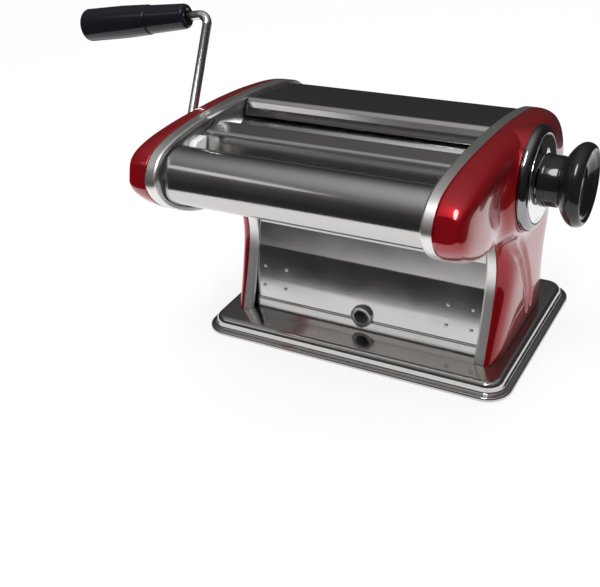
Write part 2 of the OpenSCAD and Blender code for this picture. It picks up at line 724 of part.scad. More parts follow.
module eccentric_shaft() {
    color("darkgray") difference() {
        union() {
            bar(dial_c, small_journal_r, -plate_out - 2.5, -plate_in + 1);
            bar(roller_c, shaft_r, -plate_in + 0.4, housing_x0 - 0.4);
            bar(dial_c, thrust_r, housing_x0 - 0.4, disc_x0 - 0.2);
            bar(dial_c, spindle_r, disc_x0 - 1, spindle_end);
        }
        bar(dial_c, screw_r + fix_gap, spindle_end - 12, spindle_end + 1);
    }
}
// Cutter rolls: rings of one ribbon's width, one roll's rings in the other roll's grooves
ring_pitch = 2 * ribbon_w;
ring_w = ribbon_w - ring_gap;
ring_count = floor((2 * cutter_x - ring_w) / ring_pitch / 2) * 2 + 1;
module cutter_roll(c, rings, x0) {
    bar(c, core_r, -cutter_x, cutter_x);
    for (i = [0 : rings - 1]) let (x = (i - (rings - 1) / 2) * ring_pitch)
        bar(c, ring_r, x - ring_w / 2, x + ring_w / 2);
    bar(c, cutter_journal_r, x0, plate_out + bush_head + 0.5);
}
module front_cutter_roll() {
    color("silver") cutter_roll(front_c, ring_count, -gear_x1 - 0.5);
}
module rear_cutter_roll() {
    color("silver") difference() {
        cutter_roll(rear_c, ring_count - 1, -mouth_x);
        bar(rear_c, crank_rod_r + run_gap, -mouth_x - 1, -mouth_x + socket_len - 2);
    }
}
module cutter_gear(c, phase) {
    tip_r = cutter_span / 2 + 1.4;
    root_r = cutter_span - tip_r - 0.4;
    half = [[root_r, 1.2], [cutter_span / 2, 0.95], [tip_r, 0.45]];
    left_side() gear(c, cutter_teeth, half, cutter_journal_r + fix_gap, phase);
}
module front_cutter_gear() {
    color("goldenrod") cutter_gear(front_c, -cutter_drop);
}
module rear_cutter_gear() {
    color("goldenrod") cutter_gear(rear_c, 180 - cutter_drop + 180 / cutter_teeth);
}
module hopper_cheek() {
    front_y = bar_c[0] + bar_r * cos(48) + 1.2;
    top_h = center_top - 3.4;
    back_y = rear_c[0] + 7.5;
    foot_h = front_c[1] - 13.5;
    outline = [[center_front - 1.6, top_h], [front_y + 3, top_h], [front_y, top_h - 3], [front_y, foot_h],
        [back_y, foot_h], [back_y, top_h - 16], [center_front - 5.6, top_h - 13]];
    difference() {
        across(cheek_x, fit_x) polygon(outline);
        bar(rear_c, cutter_journal_r + 0.6, cheek_x - 1, fit_x + 1);
    }
}
module left_hopper_cheek() {
    color("white") left_side() hopper_cheek();
}
module right_hopper_cheek() {
    color("white") hopper_cheek();
}
// Combs: one finger in each groove, up to the core
comb_bar_h = 2.4;
module comb(c, grooves, bar_half, lean) {
    top = c[1] - ring_r - 1;
    y0 = c[0] - lean;
    finger_w = ribbon_w - 1.2;
    across(-fit_x, fit_x) translate([y0 - bar_half, top - comb_bar_h]) square([2 * bar_half, comb_bar_h]);
    difference() {
        for (i = [0 : grooves - 1]) let (x = (i - (grooves - 1) / 2) * ring_pitch)
            across(x - finger_w / 2, x + finger_w / 2) translate([y0 - 1.6, top - 0.5])
                square([3.2, ring_r - core_r + 3.5]);
        bar(c, core_r + 0.3, -fit_x, fit_x);
    }
}
module front_cutter_comb() {
    color("gray") comb(front_c, ring_count - 1, 2.4, 2);
}
module rear_cutter_comb() {
    color("gray") comb(rear_c, ring_count, 2.8, 0);
}
scraper_t = 1;
module front_roller_scraper() {
    edge = drive_c + [4, -sqrt(roller_r * roller_r - 16) - 0.3];
    foot = lower_in(0.49, sheet_inset + sheet_t + 0.2);
    color("gray") across(-fit_x, fit_x) polygon(sheet([foot, edge + [-0.6, -5], edge], -scraper_t));
}
module rear_roller_scraper() {
    edge = [dial_c[0] - 4.6, axis_h - roller_r + 0.45];
    foot = [-waist_front - 1.2, throat_h + 2.3];
    color("gray") across(-fit_x, fit_x) polygon(sheet([foot, edge + [-0.4, -6], edge], -scraper_t));
}

// ---- Dial and knob ----
dial_post_r = 3;
dial_post_reach = 22;
dome_steps = 6;
// Half section of the housing and its domed bezel as [radius, X]
housing_section = concat(
    [[thrust_r + run_gap, housing_x0], [housing_r, housing_x0], [housing_r, bezel_x0], [bezel_r, bezel_x0]],
    [for (i = [0 : dome_steps]) let (a = 90 * i / dome_steps)
        [lerp(disc_r + 0.9, bezel_r, cos(a)), lerp(bezel_x0 + 1.2, bezel_x1, sin(a))]],
    [[disc_r + 0.3, bezel_x1], [disc_r + 0.3, disc_x0], [thrust_r + run_gap, disc_x0]]);
module dial_housing() {
    color("#2a2a2a") difference() {
        turned(0) polygon(housing_section);
        tube(dial_c, thrust_r + 3.5, dial_post_reach - dial_post_r - 1, housing_x0 - 1, bezel_x0 - 1.5);
    }
}
module dial_posts() {
    color("gainsboro") for (a = [0, 115, 245])
        bar(dial_c + dial_post_reach * [cos(a), sin(a)], dial_post_r, plate_out, housing_x0);
}
detent_reach = 10;
module dial_disc() {
    color("silver") difference() {
        bar(dial_c, disc_r, disc_x0, disc_x0 + disc_t);
        bar(dial_c, spindle_r + 0.3, disc_x0 - 1, disc_x0 + disc_t + 1);
        for (i = [0 : settings - 1]) let (a = -90 + i * setting_step)
            bar(dial_c + detent_reach * [cos(a), sin(a)], 1.4, disc_x0 + disc_t - 0.7, disc_x0 + disc_t + 1);
    }
}
// Half section of the knob as [radius, distance from the skirt's end]
spring_seat = 8.6;
spring_r = 6.7;
spring_wire = 0.55;
chamber_r = spring_r + 1.7;
flange_at = 11.5;
rim_depth = 4.4;
rim_back = knob_len - rim_depth;
dish_h = knob_len - 4;
cap_t = 1.8;
collar_h = 4;
dish_r = chamber_r + 1.6;
knob_section = concat(
    [[skirt_r - 2.2, 0], [skirt_r + 0.5, 0], [skirt_r + 0.5, collar_h], [skirt_r, collar_h]],
    [[skirt_r, flange_at - 2], [skirt_r - 0.8, flange_at - 1.5], [skirt_r - 0.8, flange_at - 0.5]],
    [for (i = [0 : 8]) let (t = i / 8)
        [lerp(skirt_r, knob_r, pow(sin(90 * t), 0.8)), lerp(flange_at, rim_back, t)]],
    [for (i = [1 : 5]) let (a = 18 * i) [knob_r - 2.8 + 2.8 * cos(a), rim_back + rim_depth * sin(a)]],
    [[knob_r - 3.6, knob_len - 0.5]],
    [for (i = [0 : 5]) let (t = i / 5)
        [lerp(knob_r - 4.4, dish_r, t), lerp(knob_len - 1.2, dish_h, smooth(t))]],
    [[dish_r, dish_h - cap_t], [chamber_r, dish_h - cap_t], [chamber_r, spring_seat]],
    [[spindle_r + run_gap, spring_seat], [spindle_r + run_gap, spring_seat - 3.5]],
    [[skirt_r - 2.2, spring_seat - 3.5]]);
module turned(x0) {
    translate([x0, dial_c[0], base_h + dial_c[1]]) rotate([0, 90, 0]) rotate_extrude() children();
}
module adjusting_knob() {
    color("#111111") difference() {
        turned(knob_x0) polygon(knob_section);
        bar(dial_c + [0, -detent_reach], pin_r + fix_gap, knob_x0, knob_x0 + spring_seat - 1.5);
    }
}
module detent_pin() {
    pin_c = dial_c + [0, -detent_reach];
    color("gainsboro") bar(pin_c, pin_r, disc_x0 + disc_t + 0.2, knob_x0 + spring_seat - 1.5);
}
washer_x = spindle_end;
module knob_cap() {
    color("#111111") bar(dial_c, dish_r - 0.1, knob_x0 + dish_h - cap_t, knob_x0 + dish_h);
}
module spring_washer() {
    color("gainsboro") tube(dial_c, screw_r + 0.1, chamber_r - 0.5, washer_x, washer_x + 0.8);
}
module spindle_screw() {
    color("gainsboro") {
        bar(dial_c, 4, washer_x + 0.8, washer_x + 0.8 + screw_head_h - 0.9);
        bar(dial_c, screw_r, washer_x - 11, washer_x + 1);
    }
}
spring_turns = 4;
module knob_spring() {
    sides = 6;
    per_turn = 16;
    x0 = knob_x0 + spring_seat + spring_wire + 0.05;
    x1 = washer_x - spring_wire - 0.05;
    rings = spring_turns * per_turn;
    at = [0, dial_c[0], base_h + dial_c[1]];
    points = [for (i = [0 : rings], k = [0 : sides - 1])
        let (a = 360 * i / per_turn, b = 360 * k / sides, r = spring_r + spring_wire * cos(b))
        at + [lerp(x0, x1, i / rings) + spring_wire * sin(b), r * cos(a), r * sin(a)]];
    walls = [for (i = [0 : rings - 1], k = [0 : sides - 1])
        let (a = i * sides + k, b = i * sides + (k + 1) % sides) each cell(a, b, b + sides, a + sides)];
    ends = [[for (k = [sides - 1 : -1 : 0]) k], [for (k = [0 : sides - 1]) rings * sides + k]];
    color("lightgray") polyhedron(points, concat(walls, ends));
}

// ---- Crank ----
// The crank lies in a plane through the shaft: u runs outward along the shaft, v along the arm.
crank_in = mouth_x - socket_len + 1;
arm_u = mouth_x + crank_bend_r + 0.4;
arm_dir = 90 - arm_lean;
grip_dir = -grip_tilt;
elbow = [arm_u, 0];
wrist = elbow + arm_len * [cos(arm_dir), sin(arm_dir)];
module in_crank_plane() {
    translate([0, drive_c[0], base_h + drive_c[1]]) rotate([arm_angle - 90, 0, 0])
        mirror([1, 0, 0]) rotate([90, 0, 0]) children();
}
// Straight part of the rod from p, in the direction a, of the length l, let into a bend at each end
bend_lap = 0.3;
bend_grow = 0.02;
module rod_run(p, a, l) {
    translate(p) rotate([0, 0, a]) translate([-bend_lap, 0]) rotate([0, 90, 0])
        cylinder(r = crank_rod_r, h = l + 2 * bend_lap);
}
// Bend that starts at p in the direction a and turns by the angle bend
module rod_bend(p, a, bend) {
    side = sign(bend);
    translate(p + crank_bend_r * side * [-sin(a), cos(a)]) rotate([0, 0, a - 90 * side])
        rotate([0, 0, min(bend, 0)]) rotate_extrude(angle = abs(bend))
            translate([crank_bend_r, 0]) circle(crank_rod_r + bend_grow);
}
// Length that a bend takes off each straight part beside it
function bend_cut(bend) = crank_bend_r * tan(abs(bend) / 2);
wrist_turn = grip_dir - arm_dir;
elbow_cut = bend_cut(arm_dir);
wrist_cut = bend_cut(wrist_turn);
grip_start = wrist_cut + 8;
spindle_len = grip_len - 5;
function along(a, l) = l * [cos(a), sin(a)];
module crank_rod() {
    color("silver") difference() {
        in_crank_plane() {
            rod_run([crank_in, 0], 0, arm_u - elbow_cut - crank_in);
            rod_bend([arm_u - elbow_cut, 0], 0, arm_dir);
            rod_run(elbow + along(arm_dir, elbow_cut), arm_dir, arm_len - elbow_cut - wrist_cut);
            rod_bend(wrist - along(arm_dir, wrist_cut), arm_dir, wrist_turn);
            rod_run(wrist + along(grip_dir, wrist_cut), grip_dir, grip_start - wrist_cut + spindle_len);
        }
        crank_pin_body(fix_gap, 1);
    }
}
module crank_pin_body(grow, extra) {
    half = journal_r - 0.3 + extra;
    translate([-mouth_x + pin_depth, drive_c[0], base_h + drive_c[1] - half])
        cylinder(r = pin_r + grow, h = 2 * half);
}
module crank_drive_pin() {
    color("dimgray") crank_pin_body(0, 0);
}
// Half section of the grip as [radius, distance from its inner end]
collar_len = 0.36 * grip_len;
grip_bore = crank_rod_r + 0.1;
end_round = 5;
cap_r = 4.6;
grip_section = concat(
    [[grip_bore, 0], [grip_r - 4.2, 0], [grip_r - 2.8, 1], [grip_r - 2.4, 2.6]],
    [[grip_r - 1.4, collar_len - 0.8], [grip_r - 1.7, collar_len]],
    [[grip_r - 0.9, collar_len + 0.6], [grip_r - 0.1, 0.62 * grip_len]],
    [for (i = [0 : 6]) let (a = 15 * i)
        [grip_r - end_round + end_round * cos(a), grip_len - end_round + end_round * sin(a)]],
    [[cap_r + seat_gap, grip_len], [cap_r + seat_gap, grip_len - 8], [grip_bore, grip_len - 8]]);
module on_grip(l) {
    in_crank_plane() translate(wrist + along(grip_dir, grip_start + l))
        rotate([0, 0, grip_dir]) rotate([0, 90, 0]) children();
}
module crank_grip() {
    color("#111111") on_grip(0) rotate_extrude() polygon(grip_section);
}
module grip_retainer() {
    color("gainsboro") on_grip(grip_len - 7.6) difference() {
        cylinder(r = cap_r - 0.3, h = 0.8);
        translate([0, 0, -1]) cylinder(r = crank_rod_r + fix_gap, h = 3);
    }
}
module grip_cap() {
    color("#111111") on_grip(grip_len - 3.5) cylinder(r = cap_r, h = 3.9);
}

base_plate();
rubber_feet();
base_screws();
foot_brackets();
left_side_plate();
right_side_plate();
left_side_trim();
right_side_trim();
left_side_cover();
right_side_cover();
cover_posts();
cover_screws();
cross_rods();
cross_rod_nuts();
front_bar_cover();
center_cover();
rear_cover();
under_cover();
leg_front_panel();
leg_back_panel();
panel_rivets();
clamp_socket();
left_hopper_cheek();
right_hopper_cheek();
front_cutter_comb();
rear_cutter_comb();
front_roller_scraper();
rear_roller_scraper();
drive_bushes();
cutter_bushes();
eccentric_bush();
crank_escutcheon();
cutter_escutcheon();
drive_roller();
drive_gear();
drive_gear_clip();
crank_rod();
crank_drive_pin();
crank_grip();
grip_retainer();
grip_cap();
rear_cutter_roll();
rear_cutter_gear();
front_cutter_roll();
front_cutter_gear();
eccentric_shaft();
roller_bushes();
adjustable_roller();
adjustable_gear();
dial_surround();
dial_housing();
dial_posts();
dial_disc();
adjusting_knob();
knob_cap();
knob_spring();
spring_washer();
spindle_screw();
detent_pin();
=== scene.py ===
"""Looks of a hand-cranked pasta machine: red side covers, chromed covers and base, dial and crank."""
import json
import math

import bmesh
import bpy
import numpy as np
from mathutils import Matrix, Vector


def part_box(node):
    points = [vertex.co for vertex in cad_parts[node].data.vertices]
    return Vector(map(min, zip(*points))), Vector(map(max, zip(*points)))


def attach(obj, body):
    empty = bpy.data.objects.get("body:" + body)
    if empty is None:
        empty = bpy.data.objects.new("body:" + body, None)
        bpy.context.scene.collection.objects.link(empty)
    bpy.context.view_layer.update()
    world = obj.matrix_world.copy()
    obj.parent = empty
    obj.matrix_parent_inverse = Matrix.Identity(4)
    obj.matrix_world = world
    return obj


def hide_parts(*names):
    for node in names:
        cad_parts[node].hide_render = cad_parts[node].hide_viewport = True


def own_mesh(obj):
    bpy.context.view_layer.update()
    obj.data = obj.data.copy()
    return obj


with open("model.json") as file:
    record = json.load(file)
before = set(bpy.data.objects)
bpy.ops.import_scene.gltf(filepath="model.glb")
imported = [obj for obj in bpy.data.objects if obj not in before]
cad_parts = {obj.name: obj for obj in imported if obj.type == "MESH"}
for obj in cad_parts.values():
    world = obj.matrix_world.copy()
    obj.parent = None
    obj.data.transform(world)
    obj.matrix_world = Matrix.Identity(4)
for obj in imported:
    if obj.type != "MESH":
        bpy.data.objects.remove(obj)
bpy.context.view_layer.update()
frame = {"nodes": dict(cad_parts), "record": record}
NODES = frame["nodes"]
MM = 0.001

# ---- Sizes in millimetres, in the frame's own axes; heights are above the floor ----
BASE_W, BASE_D, BASE_H = 204, 135, 10
BASE_CORNER_R, LIP_W, LIP_H, SHOULDER_R, FOOT_GAP = 15, 4.5, 2.6, 4, 0.8
HALF_W = 76
TRIM_W, TRIM_T = 6.3, 1.1
COVER_IN = HALF_W + TRIM_W
COVER_BULGE, LEG_BULGE, FOOT_BULGE, COVER_T = 16, 10.5, 7, 2.2
SIDE_TOP, NOSE_REACH, NOSE_H, BACK_REACH = 141.5, 121, 125, 53
THROAT_H, WAIST_FRONT, WAIST_BACK, TOE_REACH, HEEL_REACH = 76, 29, 43, 47, 46
DIAL_Y, DIAL_Z = -24.5, 122.5
DRIVE_Y, DRIVE_Z = -53.85, 122.5
REAR_CUTTER_Y, REAR_CUTTER_Z = -80.3, 119.8
DIAL_SEAT_X, DIAL_SEAT_R = 99.5, 30
BEZEL_R, BEZEL_X1, DISC_R, DISC_X0 = 28.5, 104.5, 23.5, 102.9
KNOB_X, KNOB_LEN, SKIRT_R, KNOB_R, FLANGE_AT, COLLAR_H = 105.2, 24.2, 13.7, 22.25, 11.5, 4


def lerp(a, b, t):
    return a + (b - a) * t


def smooth(t):
    """Eases a number or an array from 0 to 1."""
    c = np.clip(t, 0, 1)
    return c * c * (3 - 2 * c)


def turned_by(degrees):
    """Unit vector at an angle."""
    return np.array([math.cos(math.radians(degrees)), math.sin(math.radians(degrees))])


# ---- The side outline, as in the part's source: [y, height above the deck] ----
THROAT_Y = -WAIST_FRONT - 8.5
CHIN_RUN = THROAT_Y + NOSE_REACH
CHIN_DROP = NOSE_H - THROAT_H
CHIN_SHAPE = [(0.02, 0.19), (0.1, 0.37), (0.22, 0.52), (0.36, 0.645), (0.5, 0.73), (0.645, 0.79),
              (0.78, 0.84), (0.9, 0.9)]
NOSE = (-NOSE_REACH, NOSE_H)
UPPER_EDGE = np.array([
    NOSE, (NOSE[0] + 8, NOSE_H + 0.64 * (SIDE_TOP - NOSE_H)), (NOSE[0] + 23, SIDE_TOP - 1.5),
    (NOSE[0] + 46, SIDE_TOP), (NOSE[0] + 71, SIDE_TOP - 0.5), (NOSE[0] + 96, SIDE_TOP - 2),
    (0, SIDE_TOP - 5), (BACK_REACH - 28, SIDE_TOP - 10), (BACK_REACH - 12, SIDE_TOP - 17.5),
    (BACK_REACH - 2, SIDE_TOP - 31.5), (BACK_REACH, SIDE_TOP - 47.5), (BACK_REACH - 4, SIDE_TOP - 65.5),
    (WAIST_BACK + 3, SIDE_TOP - 83.5), (WAIST_BACK, SIDE_TOP - 101.5),
    (lerp(WAIST_BACK, HEEL_REACH, 0.2), 20), (HEEL_REACH, 0)], float)
LOWER_EDGE = np.array(
    [NOSE] + [(NOSE[0] + a * CHIN_RUN, NOSE_H - b * CHIN_DROP) for a, b in CHIN_SHAPE]
    + [(THROAT_Y, THROAT_H), (-WAIST_FRONT - 2.5, THROAT_H - 9.5), (-WAIST_FRONT, THROAT_H - 20.5),
       (-WAIST_FRONT - 1, THROAT_H - 32.5), (lerp(-WAIST_FRONT, -TOE_REACH, 0.3), 30),
       (lerp(-WAIST_FRONT, -TOE_REACH, 0.65), 14), (-TOE_REACH, 0)], float)
TANGENT_STEP = 0.004


def edge_at(edge, other, u):
    """Point at u, 0 to 1, on the smooth curve through an edge's points; both edges start at the nose."""
    last = len(edge) - 1
    s = min(max(u, 0), 1) * last
    i = min(int(s), last - 1)
    a = other[1] if i == 0 else edge[i - 1]
    b, c, d = edge[i], edge[i + 1], edge[min(i + 2, last)]
    t = s - i
    square, cube = 2 * a - 5 * b + 4 * c - d, 3 * b - a - 3 * c + d
    return 0.5 * (2 * b + (c - a) * t + square * t * t + cube * t ** 3)


def left_normal(d):
    return np.array([-d[1], d[0]]) / np.hypot(*d)


def edge_inset(edge, other, u, inset, inside):
    """Point at u on an edge, moved in by inset; inside is 1 where that is to the left of the edge, or -1."""
    ahead = edge_at(edge, other, u + TANGENT_STEP) - edge_at(edge, other, u - TANGENT_STEP)
    return edge_at(edge, other, u) + inset * left_normal(inside * ahead)


def upper_in(u, inset):
    return edge_inset(UPPER_EDGE, LOWER_EDGE, u, inset, -1)


def lower_in(u, inset):
    return edge_inset(LOWER_EDGE, UPPER_EDGE, u, inset, 1)


# ---- Materials ----
NOISE_LOW, NOISE_HIGH = 0.3, 0.7  # the range in which noise mostly lies


def shader(name, base, metallic=0.0, roughness=0.4, coat=0.0, coat_roughness=0.03, specular=0.5):
    material = bpy.data.materials.new(name)
    material.use_nodes = True
    bsdf = material.node_tree.nodes["Principled BSDF"]
    bsdf.inputs["Base Color"].default_value = (*base, 1)
    bsdf.inputs["Metallic"].default_value = metallic
    bsdf.inputs["Roughness"].default_value = roughness
    bsdf.inputs["Coat Weight"].default_value = coat
    bsdf.inputs["Coat Roughness"].default_value = coat_roughness
    bsdf.inputs["Specular IOR Level"].default_value = specular
    return material


def mapped_noise(material, scale, stretch=(1, 1, 1), detail=4.0):
    """Noise over the object's own coordinates; scale is per metre, and stretch squeezes it along an axis."""
    tree = material.node_tree
    place = tree.nodes.new("ShaderNodeTexCoord")
    mapping = tree.nodes.new("ShaderNodeMapping")
    mapping.inputs["Scale"].default_value = stretch
    noise = tree.nodes.new("ShaderNodeTexNoise")
    noise.inputs["Scale"].default_value = scale
    noise.inputs["Detail"].default_value = detail
    tree.links.new(place.outputs["Object"], mapping.inputs["Vector"])
    tree.links.new(mapping.outputs["Vector"], noise.inputs["Vector"])
    return noise


def vary_color(material, noise, low, high):
    tree = material.node_tree
    ramp = tree.nodes.new("ShaderNodeValToRGB")
    for stop, place, color in zip(ramp.color_ramp.elements, (NOISE_LOW, NOISE_HIGH), (low, high)):
        stop.position = place
        stop.color = (*color, 1)
    tree.links.new(noise.outputs["Fac"], ramp.inputs["Fac"])
    tree.links.new(ramp.outputs["Color"], tree.nodes["Principled BSDF"].inputs["Base Color"])


def vary_roughness(material, noise, low, high):
    tree = material.node_tree
    span = tree.nodes.new("ShaderNodeMapRange")
    span.inputs["From Min"].default_value = NOISE_LOW
    span.inputs["From Max"].default_value = NOISE_HIGH
    span.inputs["To Min"].default_value = low
    span.inputs["To Max"].default_value = high
    tree.links.new(noise.outputs["Fac"], span.inputs["Value"])
    tree.links.new(span.outputs["Result"], tree.nodes["Principled BSDF"].inputs["Roughness"])


def add_bump(material, noise, height_mm, strength):
    tree = material.node_tree
    bump = tree.nodes.new("ShaderNodeBump")
    bump.inputs["Strength"].default_value = strength
    bump.inputs["Distance"].default_value = height_mm * MM
    tree.links.new(noise.outputs["Fac"], bump.inputs["Height"])
    tree.links.new(bump.outputs["Normal"], tree.nodes["Principled BSDF"].inputs["Normal"])


def red_gloss():
    """Clear-coated red with a faint metallic depth."""
    material = shader("cover_red", (0.30, 0.002, 0.007), metallic=0.6, roughness=0.34, coat=1.0,
                      coat_roughness=0.025, specular=0.1)
    vary_color(material, mapped_noise(material, 22), (0.285, 0.0018, 0.0065), (0.315, 0.0023, 0.008))
    add_bump(material, mapped_noise(material, 260, detail=2), 0.02, 0.05)
    return material


def chrome(name, base, rough, wave):
    """Smooth plated metal, a little wavy as pressed sheet is."""
    material = shader(name, base, metallic=1.0, roughness=rough)
    vary_roughness(material, mapped_noise(material, 30), rough, rough + 0.05)
    add_bump(material, mapped_noise(material, 14, detail=2), 0.25, wave)
    return material


def turned_metal(name, base, rough):
    """Metal turned or drawn along X, with fine rings round its axis."""
    material = shader(name, base, metallic=1.0, roughness=rough)
    rings = mapped_noise(material, 60, stretch=(60, 1, 1), detail=3)
    vary_roughness(material, rings, rough * 0.8, rough * 1.25)
    add_bump(material, rings, 0.02, 0.12)
    return material


def plated_steel(name, base, rough):
    """Plain metal with a fine grain."""
    material = shader(name, base, metallic=1.0, roughness=rough)
    grain = mapped_noise(material, 180, detail=6)
    vary_roughness(material, grain, rough * 0.85, rough * 1.2)
    vary_color(material, mapped_noise(material, 40), tuple(0.9 * c for c in base), base)
    add_bump(material, grain, 0.02, 0.15)
    return material


def plastic(name, base, rough, coat=0.0, grain=0.04, specular=0.5):
    """Moulded plastic or rubber with a fine texture."""
    material = shader(name, base, roughness=rough, coat=coat, specular=specular)
    texture = mapped_noise(material, 320, detail=3)
    vary_roughness(material, mapped_noise(material, 35), rough * 0.9, rough * 1.2)
    add_bump(material, texture, 0.02, grain)
    return material


MATERIALS = {
    "cover_red": red_gloss(),
    "chrome_sheet": chrome("chrome_sheet", (0.60, 0.585, 0.57), 0.12, 0.03),
    "trim_chrome": chrome("trim_chrome", (0.84, 0.83, 0.81), 0.34, 0.01),
    "dial_chrome": chrome("dial_chrome", (0.80, 0.80, 0.80), 0.05, 0.005),
    "crank_chrome": chrome("crank_chrome", (0.78, 0.77, 0.76), 0.2, 0.01),
    "roller_steel": turned_metal("roller_steel", (0.72, 0.72, 0.72), 0.22),
    "cutter_steel": turned_metal("cutter_steel", (0.68, 0.68, 0.68), 0.26),
    "gear_steel": plated_steel("gear_steel", (0.42, 0.38, 0.33), 0.35),
    "comb_steel": plated_steel("comb_steel", (0.55, 0.55, 0.56), 0.3),
    "frame_steel": plated_steel("frame_steel", (0.55, 0.55, 0.56), 0.32),
    "screw_steel": plated_steel("screw_steel", (0.66, 0.66, 0.66), 0.22),
    "spring_steel": plated_steel("spring_steel", (0.5, 0.5, 0.5), 0.25),
    "bush_bronze": plated_steel("bush_bronze", (0.5, 0.33, 0.16), 0.42),
    "rivet_pale": plated_steel("rivet_pale", (0.86, 0.82, 0.70), 0.3),
    "cheek_white": plastic("cheek_white", (0.82, 0.81, 0.79), 0.3),
    "rubber_black": plastic("rubber_black", (0.018, 0.018, 0.018), 0.75, grain=0.3),
    "dial_black": chrome("dial_black", (0.30, 0.30, 0.31), 0.05, 0.005),
    "knob_black": plastic("knob_black", (0.009, 0.009, 0.01), 0.2, coat=0.5, grain=0.02, specular=0.2),
    "grip_black": plastic("grip_black", (0.006, 0.006, 0.01), 0.2, coat=0.35, grain=0.02, specular=0.25),
}
SLOTS = {s["node"]: s["material_slot"] for s in frame["record"]["subparts"]}


# ---- Helpers that make pieces ----
SAME_POINT = 0.001
CORNER_SHARE = 0.48  # of each side beside a corner, which its rounding may take
PLUG_CORE_R = 0.01  # a lathe leaves a core this thin, as it makes rings


def weight_normals(piece):
    weighted = piece.modifiers.new("weighted_normals", "WEIGHTED_NORMAL")
    weighted.keep_sharp = True


def add_piece(name, points, faces, slot, body, replaced=()):
    """Makes a closed, smooth-shaded mesh from points in millimetres, and puts it on a body."""
    mesh = bpy.data.meshes.new(name)
    mesh.from_pydata([tuple(float(c) * MM for c in p) for p in points], [], faces)
    shape = bmesh.new()
    shape.from_mesh(mesh)
    bmesh.ops.remove_doubles(shape, verts=shape.verts, dist=SAME_POINT * MM)
    bmesh.ops.recalc_face_normals(shape, faces=shape.faces)
    shape.to_mesh(mesh)
    shape.free()
    piece = bpy.data.objects.new(name, mesh)
    bpy.context.scene.collection.objects.link(piece)
    mesh.polygons.foreach_set("use_smooth", [True] * len(mesh.polygons))
    mesh.materials.append(MATERIALS[slot])
    weight_normals(piece)
    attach(piece, body)
    if replaced:
        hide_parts(*replaced)
    return piece


def grid_faces(rows, cols, wrap_cols=False, wrap_rows=False, start=0):
    """Quads between neighbouring points of a grid, whose first point has the number start."""
    faces = []
    for row in range(rows if wrap_rows else rows - 1):
        this, after = start + row * cols, start + (row + 1) % rows * cols
        for col in range(cols if wrap_cols else cols - 1):
            beside = (col + 1) % cols
            faces.append((this + col, this + beside, after + beside, after + col))
    return faces


def rounded(points, radii, steps=5, least_turn=0.05):
    """Rounds the corners of a closed outline, which has one radius for each corner."""
    out = []
    for i, radius in enumerate(radii):
        corner, before, after = (np.array(points[k], float) for k in (i, i - 1, (i + 1) % len(points)))
        u, v = before - corner, after - corner
        len_u, len_v = np.hypot(*u), np.hypot(*v)
        u, v = u / len_u, v / len_v
        turn = math.acos(max(-1, min(1, float(u @ v))))
        if radius <= 0 or turn > math.pi - least_turn:
            out.append(corner)
            continue
        cut = min(radius / math.tan(turn / 2), CORNER_SHARE * len_u, CORNER_SHARE * len_v)
        fitted = cut * math.tan(turn / 2)
        centre = corner + (u + v) / np.hypot(*(u + v)) * fitted / math.sin(turn / 2)
        first, last = corner + u * cut - centre, corner + v * cut - centre
        begin = math.atan2(first[1], first[0])
        swing = (math.atan2(last[1], last[0]) - begin + math.pi) % (2 * math.pi) - math.pi
        for step in range(steps + 1):
            angle = begin + swing * step / steps
            out.append(centre + fitted * np.array([math.cos(angle), math.sin(angle)]))
    return out


def turned(section, origin, axis, sides):
    """Points of a closed section of [radius, distance along the axis] turned about an axis."""
    axis = Vector(axis).normalized()
    side = axis.orthogonal().normalized()
    other = axis.cross(side)
    origin = Vector(origin)
    points = []
    for k in range(sides):
        angle = 2 * math.pi * k / sides
        out = side * math.cos(angle) + other * math.sin(angle)
        points += [origin + out * float(r) + axis * float(z) for r, z in section]
    return points


def lathe(name, section, origin, axis, slot, body, replaced=(), sides=96):
    """A piece turned from a closed section of [radius, distance along the axis]."""
    faces = grid_faces(sides, len(section), wrap_cols=True, wrap_rows=True)
    return add_piece(name, turned(section, origin, axis, sides), faces, slot, body, replaced)


def plug(name, radius, reach, origin, axis, slot):
    """A solid cylinder between two distances along an axis, to cut with."""
    start, end = reach
    section = [(PLUG_CORE_R, start), (radius, start), (radius, end), (PLUG_CORE_R, end)]
    return lathe(name, section, origin, axis, slot, "frame")


def cut_with(piece, cutters):
    """Cuts the cutters out of a piece, and removes them."""
    for cutter in cutters:
        step = piece.modifiers.new("cut", "BOOLEAN")
        step.operation, step.solver, step.object = "DIFFERENCE", "EXACT", cutter
    bpy.context.view_layer.update()
    cut = bpy.data.meshes.new_from_object(piece.evaluated_get(bpy.context.evaluated_depsgraph_get()))
    piece.modifiers.clear()
    piece.data = cut
    weight_normals(piece)
    for cutter in cutters:
        bpy.data.objects.remove(cutter)


def dress(node, bevel_mm, weld_mm=0.002, flat_deg=0.3, sharp_deg=30):
    """Gives a CAD node its material, and rounds its edges a little."""
    piece = NODES[node]
    piece.data.polygons.foreach_set("use_smooth", [True] * len(piece.data.polygons))
    for place in piece.material_slots:
        place.material = MATERIALS[SLOTS[node]]
    weld = piece.modifiers.new("weld", "WELD")
    weld.merge_threshold = weld_mm * MM
    flatten = piece.modifiers.new("flatten", "DECIMATE")
    flatten.decimate_type = "DISSOLVE"
    flatten.angle_limit = math.radians(flat_deg)
    soften = piece.modifiers.new("soften", "BEVEL")
    soften.width = bevel_mm * MM
    soften.segments = 2
    soften.limit_method = "ANGLE"
    soften.angle_limit = math.radians(sharp_deg)
    soften.harden_normals = True


